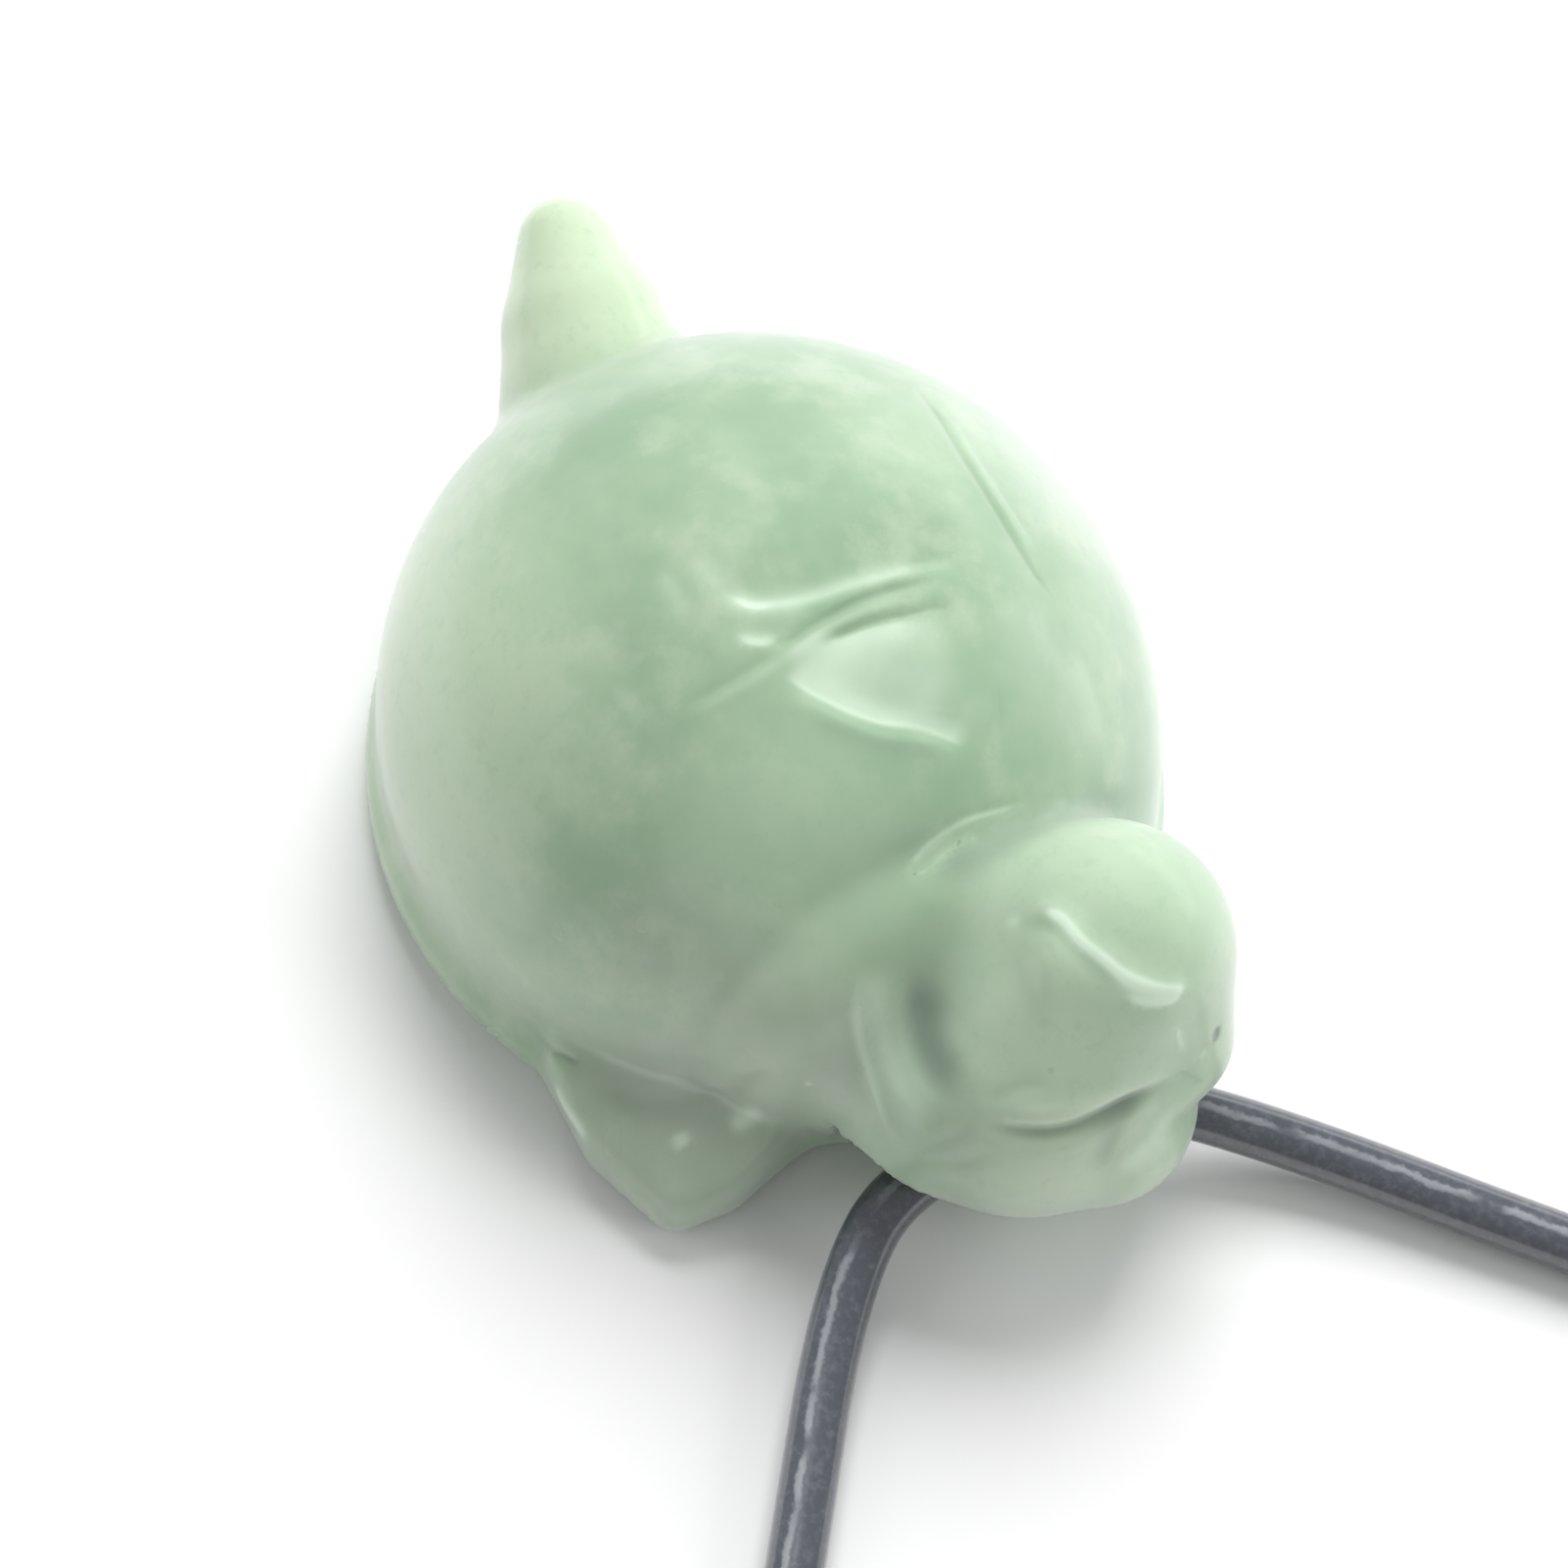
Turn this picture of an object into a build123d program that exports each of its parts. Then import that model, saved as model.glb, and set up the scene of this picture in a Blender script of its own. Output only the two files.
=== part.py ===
from build123d import *
import math
import os

# A turtle carved from one piece of pale stone, strung on a round leather cord, lying on its belly.
# Millimetres. +X is the way the turtle's body faces, +Y its left side, +Z up.
# The origin is under the turtle on the surface that it lies on.

# Shell: a dome over a flange, turned on a lathe and then made narrower than it is long.
SHELL_LENGTH = 30.4
SHELL_WIDTH = 28.2
SHELL_X = -1.0
SHELL_Y = 0.3
RIM_HEIGHT = 3.9
DOME_RISE = 12.8
CREASE_HEIGHT = 2.3
FLANGE_REACH = 0.4
FLANGE_HEIGHT = 1.5
FLANGE_FOOT = (0.0, 0.8)
BELLY_INSET = 3.9

# Carved lines on the shell, in plan: each row runs from one point to the next.
GROOVE_WIDTH = 0.75
GROOVE_DEPTH = 0.40
CROSS_GROOVE = ((3.6, -5.6), (3.1, 0.0), (2.6, 5.6))
LEFT_GROOVE = ((-6.0, 9.0), (-1.6, 8.8), (3.2, 9.4))
RIGHT_GROOVE = ((0.1, -6.5), (3.4, -5.8))
REAR_GROOVE = ((-9.9, -3.4), (-9.6, -1.0), (-9.3, 1.4))

# Flat cuts on the shell: where the middle of the cut lies, how it faces, and how deep it goes.
FACET_COLUMNS = ("x", "y", "bearing", "lift", "depth")
FACETS = (
    (5.4, 3.0, 26.0, 66.0, 0.24),
    (1.6, 1.2, 22.0, 81.0, 0.06),
)

# Neck
NECK_CENTRE = (10.6, 0.2, 5.2)
NECK_RADII = (4.6, 8.3, 7.4)

# Head: balls and the cones between them. It is turned to the turtle's left and lifted a little.
HEAD_TURN = 40.0
JAW = (15.5, 2.0, 5.6, 5.4)
JAW_CORNER = (15.1, -0.7, 5.5, 4.0)
CROWN = (14.8, 5.3, 9.6, 4.6)
MUZZLE = (17.3, 5.9, 7.4, 2.7)
MOUTH_POINT = (18.9, 1.0, 10.0)
MOUTH_BEARING = -50.0
MOUTH_LIFT = 72.0
MOUTH_WIDTH = 0.6
MOUTH_DEPTH = 0.4
FOLD_POINT = (15.0, -1.1, 9.6)
FOLD_BEARING = 96.0
FOLD_LENGTH = 4.0
FOLD_WIDTH = 1.0
FOLD_DEPTH = 0.4

# Hole for the cord, drilled crosswise through the jaw, with a flare at each mouth.
CORD_DIAMETER = 2.0
HOLE_CLEARANCE = 0.35
HOLE_CENTRE = (JAW[0] + 1.4, JAW[1] - 0.4, 3.0)
HOLE_BEARING = 85.0
FLARE_RADIUS = 2.6
FLARE_LENGTH = 4.0
FLARE_STARTS = (-2.2, 1.6)

# Tail: a bent cone with a round tip.
TAIL_BALLS = (
    (-12.5, -0.5, 6.8, 4.0),
    (-17.0, 0.2, 8.5, 3.0),
    (-20.0, 1.0, 9.8, 1.8),
)

# Front flippers: rounded paddles that lean down outwards. The left one mirrors the right, drawn in a little.
FLIPPER_OUTLINE = ((6.0, -6.0), (6.6, -12.5), (10.7, -12.4), (14.4, -11.0), (14.5, -8.4), (12.9, -3.2))
FLIPPER_CORNER = 1.6
FLIPPER_TOP_POINT = (13.4, -10.4, 2.9)
FLIPPER_TOP_BEARING = -52.0
FLIPPER_TOP_LIFT = 66.0
FLIPPER_BASE = 0.3
FLIPPER_EDGE = 0.8
LEFT_FLIPPER_PULL = 1.6

# Rear feet: small pads that look out from under the rim on both sides of the tail.
REAR_FOOT_BALLS = ((-11.6, 4.4, 2.1, 1.8), (-15.4, 5.6, 1.5, 1.2))

# Clasp: a plain barrel over both ends of the cord, lying on the surface along Y.
CLASP_LENGTH = 12.0
CLASP_DIAMETER = 3.6
CLASP_BORE_DEPTH = 4.5
CLASP_BORE_CLEARANCE = 0.12
CLASP_EDGE = 0.5
CLASP_WAIST_WIDTH = 0.8
CLASP_WAIST_DEPTH = 0.3
CLASP_X = 161.5
CLASP_Y = 4.0
CORD_SEAT_GAP = 0.3

# The cord's route: the end in the clasp, the strand to the head, the strand back and the other end.
# Each row has x, y and how far the cord's underside stands off the surface.
CORD_STAND_OFF = 0.05
CORD_OUT = (
    (157.0, -23.5, CORD_STAND_OFF),
    (143.0, -43.2, CORD_STAND_OFF),
    (117.5, -56.5, CORD_STAND_OFF),
    (89.5, -56.5, CORD_STAND_OFF),
    (63.5, -41.0, CORD_STAND_OFF),
    (41.0, -22.1, CORD_STAND_OFF),
    (26.7, -12.1, CORD_STAND_OFF),
    (19.0, -6.7, 0.40),
)
CORD_BACK = (
    (20.9, 10.1, 0.45),
    (28.1, 16.6, CORD_STAND_OFF),
    (41.5, 28.8, CORD_STAND_OFF),
    (63.0, 46.5, CORD_STAND_OFF),
    (89.5, 62.0, CORD_STAND_OFF),
    (118.0, 63.5, CORD_STAND_OFF),
    (143.0, 50.8, CORD_STAND_OFF),
    (157.0, 31.0, CORD_STAND_OFF),
)
CORD_LEAD = 11.0
HOLE_RUN_BEHIND = 4.6
HOLE_RUN_AHEAD = 3.6
CORNER_SHARE = 0.45

# Cutting blocks are this large, which is past the whole turtle.
CUTTER_SIZE = 60.0


def ellipsoid(centre, radii, bearing=0.0):
    """A ball stretched to three radii, turned about the upright axis."""
    ball = scale(Sphere(1.0), by=radii)
    return Pos(*centre) * Rot(0, 0, bearing) * ball


def cone_of_balls(start, start_radius, end, end_radius):
    """The round solid that two balls and the cone which touches both of them make."""
    axis = Vector(*end) - Vector(*start)
    reach = axis.length
    lean = math.asin((start_radius - end_radius) / reach)
    low = (start_radius * math.cos(lean), start_radius * math.sin(lean))
    high = (end_radius * math.cos(lean), reach + end_radius * math.sin(lean))
    low_mid = (math.cos((lean - math.pi / 2) / 2), math.sin((lean - math.pi / 2) / 2))
    high_mid = (math.cos((lean + math.pi / 2) / 2), math.sin((lean + math.pi / 2) / 2))
    outline = Polyline((0, -start_radius), (0, reach + end_radius))
    outline += ThreePointArc(
        (0, -start_radius), (start_radius * low_mid[0], start_radius * low_mid[1]), low
    )
    outline += Line(low, high)
    outline += ThreePointArc(
        high, (end_radius * high_mid[0], reach + end_radius * high_mid[1]), (0, reach + end_radius)
    )
    face = Plane.XZ * make_face(outline)
    pod = revolve(face, Axis.Z)
    return Plane(origin=start, z_dir=axis) * pod


def half_space(point, direction):
    """A block whose one face passes through a point, lying on the side that a direction names."""
    block = Pos(0, 0, CUTTER_SIZE / 2) * Box(CUTTER_SIZE, CUTTER_SIZE, CUTTER_SIZE)
    return Plane(origin=point, z_dir=direction) * block


def shell_radii(inset=0.0):
    """The dome's three radii, each less an inset."""
    return (SHELL_LENGTH / 2 - inset, SHELL_WIDTH / 2 - inset, DOME_RISE - inset)


def make_shell():
    """The dome and its flange on the flat belly."""
    half_length, _, rise = shell_radii()
    drop = math.degrees(math.asin((RIM_HEIGHT - CREASE_HEIGHT) / rise))
    dome = EllipticalCenterArc((0, RIM_HEIGHT), half_length, rise, start_angle=-drop, arc_size=90 + drop)
    foot = (half_length + FLANGE_FOOT[0], FLANGE_FOOT[1])
    flange = ThreePointArc(foot, (half_length + FLANGE_REACH, FLANGE_HEIGHT), dome @ 0)
    outline = dome + flange + Polyline(foot, (half_length - BELLY_INSET, 0), (0, 0), dome @ 1)
    shell = revolve(Plane.XZ * make_face(outline), Axis.Z)
    return Pos(SHELL_X, SHELL_Y, 0) * scale(shell, by=(1, SHELL_WIDTH / SHELL_LENGTH, 1))


def dome_point(x, y):
    """The point of the dome over a place in plan."""
    a, b, c = shell_radii()
    u = (x - SHELL_X) / a
    v = (y - SHELL_Y) / b
    z = c * math.sqrt(1 - u * u - v * v)
    return Vector(x, y, RIM_HEIGHT + z)


def groove(points):
    """A cutter of one depth along a line on the dome."""
    line = Polyline(*points)
    strip = Pos(0, 0, RIM_HEIGHT) * extrude(trace(line, line_width=GROOVE_WIDTH), 2 * DOME_RISE)
    return strip - ellipsoid((SHELL_X, SHELL_Y, RIM_HEIGHT), shell_radii(GROOVE_DEPTH))


def facing(bearing, lift):
    """A direction from its bearing about the upright axis and its lift above level."""
    bearing = math.radians(bearing)
    lift = math.radians(lift)
    return Vector(math.cos(lift) * math.cos(bearing), math.cos(lift) * math.sin(bearing), math.sin(lift))


def facet(row):
    """A cutter that takes a flat off the dome."""
    cut = dict(zip(FACET_COLUMNS, row))
    direction = facing(cut["bearing"], cut["lift"])
    return half_space(dome_point(cut["x"], cut["y"]) - direction * cut["depth"], direction)


def make_neck():
    """The broad neck between the shell and the head."""
    return ellipsoid(NECK_CENTRE, NECK_RADII)


def head_form(inset=0.0):
    """The head's round form from jaw to crown to muzzle, less an inset."""
    form = Part()
    for one, other in ((JAW, CROWN), (JAW, MUZZLE), (CROWN, MUZZLE), (JAW, JAW_CORNER)):
        form += cone_of_balls(one[:3], one[3] - inset, other[:3], other[3] - inset)
    return form


def make_head():
    """The head with its mouth and the fold behind its cheek."""
    slot = Plane(origin=MOUTH_POINT, z_dir=facing(MOUTH_BEARING, MOUTH_LIFT))
    mouth = slot * Box(4 * JAW[3], 4 * JAW[3], MOUTH_WIDTH)
    mouth &= half_space(JAW[:3], facing(HEAD_TURN, 0))
    across = Plane(origin=FOLD_POINT, x_dir=facing(FOLD_BEARING - 90, 0), z_dir=facing(FOLD_BEARING, 0))
    fold = across * Box(FOLD_LENGTH, 2 * JAW[3], FOLD_WIDTH)
    fold &= half_space(JAW[:3], (0, 0, 1))
    head = head_form() - (mouth - head_form(MOUTH_DEPTH))
    return head - (fold - head_form(FOLD_DEPTH))


def make_tail():
    """The tail, a cone that bends once."""
    tail = Part()
    for root, end in zip(TAIL_BALLS[:-1], TAIL_BALLS[1:]):
        tail += cone_of_balls(root[:3], root[3], end[:3], end[3])
    return tail


def make_flipper(pull):
    """The right front flipper, drawn back towards the body by a pull."""
    outline = make_face(Polyline(*FLIPPER_OUTLINE, close=True))
    outline = fillet(outline.vertices(), FLIPPER_CORNER)
    paddle = Pos(0, 0, FLIPPER_BASE) * extrude(outline, RIM_HEIGHT + DOME_RISE / 2)
    paddle -= half_space(FLIPPER_TOP_POINT, facing(FLIPPER_TOP_BEARING, FLIPPER_TOP_LIFT))
    paddle = fillet(paddle.edges(), FLIPPER_EDGE)
    return Pos(-pull, pull, 0) * paddle


def make_rear_foot():
    """The left rear foot, a small pad under the rim."""
    root, end = REAR_FOOT_BALLS
    return cone_of_balls(root[:3], root[3], end[:3], end[3])


def make_hole():
    """The hole for the cord, with a flare at each mouth."""
    radius = CORD_DIAMETER / 2 + HOLE_CLEARANCE
    line = Plane(origin=HOLE_CENTRE, z_dir=facing(HOLE_BEARING, 0))
    reach = max(abs(start) for start in FLARE_STARTS) + FLARE_LENGTH
    hole = line * Cylinder(radius, 2 * reach)
    for start in FLARE_STARTS:
        side = math.copysign(1, start)
        flare = Cone(radius, FLARE_RADIUS, FLARE_LENGTH, align=(Align.CENTER, Align.CENTER, Align.MIN))
        mouth = Plane(origin=line.from_local_coords((0, 0, start)), z_dir=line.z_dir * side)
        hole += mouth * flare
    return hole


def make_turtle():
    """The whole carved turtle."""
    body = make_shell()
    for cut in (CROSS_GROOVE, LEFT_GROOVE, RIGHT_GROOVE, REAR_GROOVE):
        body -= groove(cut)
    for row in FACETS:
        body -= facet(row)
    body += make_neck()
    body += make_head()
    body += make_tail()
    body += make_flipper(0.0)
    body += mirror(make_flipper(LEFT_FLIPPER_PULL), Plane.XZ)
    foot = make_rear_foot()
    body += foot
    body += mirror(foot, Plane.XZ)
    body -= half_space((0, 0, 0), (0, 0, -1))
    return body - make_hole()


def cord_points():
    """The corners of the cord's route, from one end in the clasp round to the other."""
    middle = Vector(*HOLE_CENTRE)
    along = facing(HOLE_BEARING, 0)
    seat = CLASP_LENGTH / 2 - CLASP_BORE_DEPTH + CORD_SEAT_GAP
    height = CLASP_DIAMETER / 2
    points = [(CLASP_X, CLASP_Y - seat, height), (CLASP_X, CLASP_Y - CORD_LEAD, height)]
    points += [(x, y, CORD_DIAMETER / 2 + gap) for x, y, gap in CORD_OUT]
    points += [tuple(middle - along * HOLE_RUN_BEHIND), tuple(middle + along * HOLE_RUN_AHEAD)]
    points += [(x, y, CORD_DIAMETER / 2 + gap) for x, y, gap in CORD_BACK]
    points += [(CLASP_X, CLASP_Y + CORD_LEAD, height), (CLASP_X, CLASP_Y + seat, height)]
    return [Vector(*point) for point in points]


def corner_radii(points):
    """The bend's radius at each corner: the arc takes one share of the shorter run beside it."""
    radii = []
    for before, corner, after in zip(points[:-2], points[1:-1], points[2:]):
        arriving = corner - before
        leaving = after - corner
        half_turn = math.radians(arriving.get_angle(leaving)) / 2
        shorter = min(arriving.length, leaving.length)
        radii.append(CORNER_SHARE * shorter / math.tan(half_turn))
    return radii


def make_cord():
    """The cord as one tube, and the length of its middle line."""
    points = cord_points()
    radii = corner_radii(points)
    print("cord radii", [round(radius, 1) for radius in radii])
    path = FilletPolyline(*points, radius=radii)
    section = Plane(origin=path @ 0, z_dir=path % 0) * Circle(CORD_DIAMETER / 2)
    return sweep(section, path=path), path.length


def make_clasp():
    """The barrel with a blind bore for each end of the cord and a shallow waist."""
    barrel = Cylinder(CLASP_DIAMETER / 2, CLASP_LENGTH)
    barrel = fillet(barrel.edges(), CLASP_EDGE)
    waist = Cylinder(CLASP_DIAMETER, CLASP_WAIST_WIDTH)
    waist -= Cylinder(CLASP_DIAMETER / 2 - CLASP_WAIST_DEPTH, CLASP_WAIST_WIDTH)
    barrel -= waist
    bore = Cylinder(CORD_DIAMETER / 2 + CLASP_BORE_CLEARANCE, CLASP_BORE_DEPTH)
    for side in (-1, 1):
        barrel -= Pos(0, 0, side * (CLASP_LENGTH - CLASP_BORE_DEPTH) / 2) * bore
    return Plane(origin=(CLASP_X, CLASP_Y, CLASP_DIAMETER / 2), z_dir=(0, 1, 0)) * barrel


os.makedirs("parts", exist_ok=True)
cord, cord_length = make_cord()
loop_length = cord_length + CLASP_LENGTH - 2 * (CLASP_BORE_DEPTH - CORD_SEAT_GAP)
section_area = math.pi * CORD_DIAMETER ** 2 / 4
print("cord length", round(cord_length, 1), "loop with the clasp", round(loop_length, 1))
print("cord volume", round(cord.volume, 1), "section by length", round(section_area * cord_length, 1))
for name, part in (("turtle", make_turtle()), ("cord", cord), ("clasp", make_clasp())):
    print(name, len(part.solids()), round(part.volume, 1), part.is_valid, part.bounding_box())
    export_step(part, "parts/" + name + ".step")
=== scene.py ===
"""A turtle pendant carved from pale green stone, lying on its round leather cord.

Every size is written in millimetres and turned into metres where a mesh, a light or the camera is
made. The frame is the CAD model's: +X is the way the turtle's body faces, +Y its left, +Z up.
"""

import logging
import math
from contextlib import contextmanager
from dataclasses import dataclass, field
from enum import Enum
from typing import Any, Dict, Iterator, List, Optional, Tuple, Union

import bmesh
import bpy
import numpy as np
from mathutils import Matrix, Vector

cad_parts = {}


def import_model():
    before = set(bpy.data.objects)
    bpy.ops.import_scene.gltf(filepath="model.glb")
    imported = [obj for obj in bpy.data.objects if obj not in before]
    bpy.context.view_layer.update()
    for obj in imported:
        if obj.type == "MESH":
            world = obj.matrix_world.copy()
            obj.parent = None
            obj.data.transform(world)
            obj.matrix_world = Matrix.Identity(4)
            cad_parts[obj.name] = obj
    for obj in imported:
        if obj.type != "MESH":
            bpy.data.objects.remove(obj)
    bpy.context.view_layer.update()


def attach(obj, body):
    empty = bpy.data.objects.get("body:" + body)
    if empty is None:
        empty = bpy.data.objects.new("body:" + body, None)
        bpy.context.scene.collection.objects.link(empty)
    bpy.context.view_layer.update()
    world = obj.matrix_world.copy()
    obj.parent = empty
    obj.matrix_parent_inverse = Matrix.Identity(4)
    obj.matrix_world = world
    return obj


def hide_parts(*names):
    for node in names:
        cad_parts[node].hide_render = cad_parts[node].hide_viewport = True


MM = 0.001
FAR = 1e9
TINY = 1e-12
# The mesh attribute that holds the strokes' painted shade and painted highlights.
PAINTED_LIGHT_AND_SHADE = "painted_light_and_shade"
LOG = logging.getLogger("turtle_pendant")

Array = np.ndarray
Point = Tuple[float, float, float]
Colour = Tuple[float, float, float]
Ball = Tuple[float, float, float, float]


class Side(Enum):
    """The side of the turtle that a paired piece is on, as the factor of its Y."""

    RIGHT = 1.0
    LEFT = -1.0


def facing(bearing: float, lift: float) -> Array:
    """Give a direction from its bearing about the upright axis and its lift above level.

    Args:
        bearing: Degrees from +X towards +Y.
        lift: Degrees above level.

    Returns:
        The direction as a unit vector.
    """
    turn, rise = math.radians(bearing), math.radians(lift)
    level = math.cos(rise)
    return np.array((level * math.cos(turn), level * math.sin(turn), math.sin(rise)))


def joined(one: Array, other: Array, width: float) -> Array:
    """Join two signed distances with a soft seam.

    Args:
        one: The first form's distances.
        other: The second form's distances.
        width: How wide the seam is, in millimetres.

    Returns:
        The distances to both forms together.
    """
    share = np.clip(0.5 + 0.5 * (other - one) / width, 0.0, 1.0)
    return other * (1.0 - share) + one * share - width * share * (1.0 - share)


def common(one: Array, other: Array, width: float) -> Array:
    """Keep what two signed distances share, with a soft edge of a width."""
    return -joined(-one, -other, width)


class Form:
    """A form known by its signed distance, which is below 0 inside it."""

    def reach(self, points: Array) -> Array:
        """Give each point's signed distance from the form.

        Args:
            points: The points, in millimetres.

        Returns:
            A distance for each point, in millimetres.
        """
        raise NotImplementedError


@dataclass(frozen=True)
class Egg(Form):
    """A ball stretched to three radii."""

    centre: Point
    radii: Point

    def reach(self, points: Array) -> Array:
        """Give each point's signed distance from the egg.

        Args:
            points: The points, in millimetres.

        Returns:
            A distance for each point, in millimetres.
        """
        away = points - np.array(self.centre)
        radii = np.array(self.radii)
        near = np.linalg.norm(away / radii, axis=1)
        steep = np.linalg.norm(away / radii**2, axis=1) + 1.0 / FAR
        return near * (near - 1.0) / steep


@dataclass(frozen=True)
class Cone(Form):
    """The round form that two balls and the cone over both of them make."""

    root: Ball
    end: Ball

    def reach(self, points: Array) -> Array:
        """Give each point's signed distance from the cone.

        Args:
            points: The points, in millimetres.

        Returns:
            A distance for each point, in millimetres.
        """
        start, root_radius = np.array(self.root[:3]), self.root[3]
        stop, end_radius = np.array(self.end[:3]), self.end[3]
        axis = stop - start
        length = axis @ axis
        taper = root_radius - end_radius
        slope = length - taper * taper
        away = points - start
        low = away @ axis
        high = low - length
        wide = ((away * length - axis[None, :] * low[:, None]) ** 2).sum(axis=1)
        low_part, high_part = low * low * length, high * high * length
        bend = np.sign(taper) * taper * taper * wide
        past = np.sqrt(wide + high_part) / length - end_radius
        before = np.sqrt(wide + low_part) / length - root_radius
        between = (np.sqrt(wide * slope / length) + low * taper) / length - root_radius
        inner = np.where(np.sign(low) * slope * low_part < bend, before, between)
        return np.where(np.sign(high) * slope * high_part > bend, past, inner)


@dataclass(frozen=True)
class Paddle(Form):
    """A rounded plate over an outline in plan, under a leaning top."""

    outline: Tuple[Tuple[float, float], ...]
    corner: float = 1.3
    edge: float = 0.8
    top_edge: float = 1.5
    base: float = 0.3
    top_point: Point = (13.4, -10.4, 2.9)
    top_bearing: float = -52.0
    top_lift: float = 66.0
    side: Side = Side.RIGHT
    pull: float = 0.0

    def placed(self, points: Array) -> Array:
        """Move points to where the paddle is drawn."""
        turned = points * np.array((1.0, self.side.value, 1.0))
        return turned + np.array((self.pull, -self.pull, 0.0))

    def drawn_in(self) -> Array:
        """Give the outline less its corner radius, so that rounding brings it back to size.

        Returns:
            The outline's corners, one to a row.
        """
        ring = np.array(self.outline)
        after = np.roll(ring, -1, axis=0)
        sides = after - ring
        turn = np.sign((ring[:, 0] * after[:, 1] - after[:, 0] * ring[:, 1]).sum())
        out = turn * np.stack([sides[:, 1], -sides[:, 0]], axis=1)
        out = out / np.linalg.norm(sides, axis=1)[:, None]
        both = out + np.roll(out, 1, axis=0)
        return ring - both * (self.corner * 2.0 / (both**2).sum(axis=1))[:, None]

    def reach(self, points: Array) -> Array:
        """Give each point's signed distance from the paddle.

        Args:
            points: The points, in millimetres.

        Returns:
            A distance for each point, in millimetres.
        """
        moved = self.placed(points)
        ring = self.drawn_in()
        nearest = np.full(len(moved), FAR)
        sign = np.ones(len(moved))
        for corner, last in zip(ring, np.roll(ring, 1, axis=0)):
            along, away = last - corner, moved[:, :2] - corner
            share = np.clip((away @ along) / (along @ along), 0.0, 1.0)
            nearest = np.minimum(nearest, ((away - share[:, None] * along) ** 2).sum(axis=1))
            above, below = moved[:, 1] >= corner[1], moved[:, 1] < last[1]
            left = along[0] * away[:, 1] > along[1] * away[:, 0]
            sign = np.where((above & below & left) | (~above & ~below & ~left), -sign, sign)
        flat = sign * np.sqrt(nearest) - self.corner
        top = (moved - np.array(self.top_point)) @ facing(self.top_bearing, self.top_lift)
        under_top = common(flat, top, self.edge * self.top_edge)
        return common(under_top, self.base - moved[:, 2], self.edge)


@dataclass(frozen=True)
class Drill(Form):
    """The cord's hole through the head's base, with a flare at each mouth."""

    centre: Point = (16.9, 1.6, 3.0)
    bearing: float = 85.0
    radius: float = 1.35
    flare_radius: float = 2.6
    flare_length: float = 4.0
    flare_starts: Tuple[float, float] = (-2.2, 1.6)

    def reach(self, points: Array) -> Array:
        """Give each point's signed distance from the hole's own space.

        Args:
            points: The points, in millimetres.

        Returns:
            A distance for each point, in millimetres.
        """
        axis = facing(self.bearing, 0.0)
        away = points - np.array(self.centre)
        along = away @ axis
        wide = np.linalg.norm(away - along[:, None] * axis, axis=1)
        past = np.maximum(self.flare_starts[0] - along, along - self.flare_starts[1])
        growth = (self.flare_radius - self.radius) / self.flare_length
        radius = self.radius + np.clip(past, 0.0, None) * growth
        return np.maximum(wide - radius, past - self.flare_length)


@dataclass(frozen=True)
class Stroke:
    """A line that the carver cut into the stone, or left standing on it.

    The two widths are those of its left and right flank, seen along the line from outside the
    stone. A positive depth cuts and a negative one raises. A positive shade lays painted shade
    along it and a negative one a painted highlight, and a stroke without depth is only painted.
    The fade is the share of its length over which each end dies away. The last two sizes say
    how many widths beside it and how deep under it a point still feels it.
    """

    line: Tuple[Point, ...]
    left: float
    right: float
    depth: float = 0.0
    shade: float = 0.0
    fade: float = 0.25
    widths_felt: float = 3.0
    depth_felt: float = 1.5

    def traced(self, count: int = 28) -> Array:
        """Give points along a smooth curve through the line's points.

        Args:
            count: About how many points the curve gets.

        Returns:
            The points, one to a row.
        """
        knots = np.array(self.line)
        if len(knots) < 3:
            return np.linspace(knots[0], knots[-1], count)
        padded = np.vstack([2 * knots[0] - knots[1], knots, 2 * knots[-1] - knots[-2]])
        made: List[Array] = []
        steps = np.linspace(0.0, 1.0, max(3, count // (len(knots) - 1)), endpoint=False)[:, None]
        for a, b, c, d in zip(padded[:-3], padded[1:-2], padded[2:-1], padded[3:]):
            made.append(
                0.5 * (2 * b + (c - a) * steps + (2 * a - 5 * b + 4 * c - d) * steps**2)
                + 0.5 * (3 * b - a - 3 * c + d) * steps**3
            )
        return np.vstack(made + [knots[-1:]])

    def weight(self, points: Array, normals: Array) -> Array:
        """Give how strongly each point lies under the stroke.

        Args:
            points: The surface's points, in millimetres.
            normals: The surface's outward directions there.

        Returns:
            A share for each point, from 0 to 1.
        """
        curve = self.traced()
        far = max(self.left, self.right) * self.widths_felt
        low, high = curve.min(axis=0) - far, curve.max(axis=0) + far
        near = np.flatnonzero(np.all((points > low) & (points < high), axis=1))
        shares = np.zeros(len(points))
        if not len(near):
            return shares
        spots, outward = points[near], normals[near]
        best = np.full(len(near), FAR)
        side = np.zeros(len(near))
        place = np.zeros(len(near))
        pieces = len(curve) - 1
        for index, (start, stop) in enumerate(zip(curve[:-1], curve[1:])):
            along = stop - start
            away = spots - start
            share = np.clip((away @ along) / (along @ along), 0.0, 1.0)
            gap = away - share[:, None] * along
            gap = gap - (gap * outward).sum(axis=1)[:, None] * outward
            distance = np.linalg.norm(gap, axis=1)
            closer = distance < best
            best = np.where(closer, distance, best)
            turn = (np.cross(outward, np.broadcast_to(along, gap.shape)) * gap).sum(axis=1)
            side = np.where(closer, turn, side)
            place = np.where(closer, (index + share) / pieces, place)
        width = np.where(side > 0, self.left, self.right)
        end = np.clip(np.minimum(place, 1.0 - place) / self.fade, 0.0, 1.0)
        taper = end * end * (3.0 - 2.0 * end)
        under = np.abs(((spots - curve[(place * pieces).astype(int)]) * outward).sum(axis=1))
        felt = np.exp(-np.clip(under - self.depth_felt, 0.0, None) ** 2)
        shares[near] = np.exp(-((best / width) ** 2)) * taper * felt
        return shares


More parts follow.
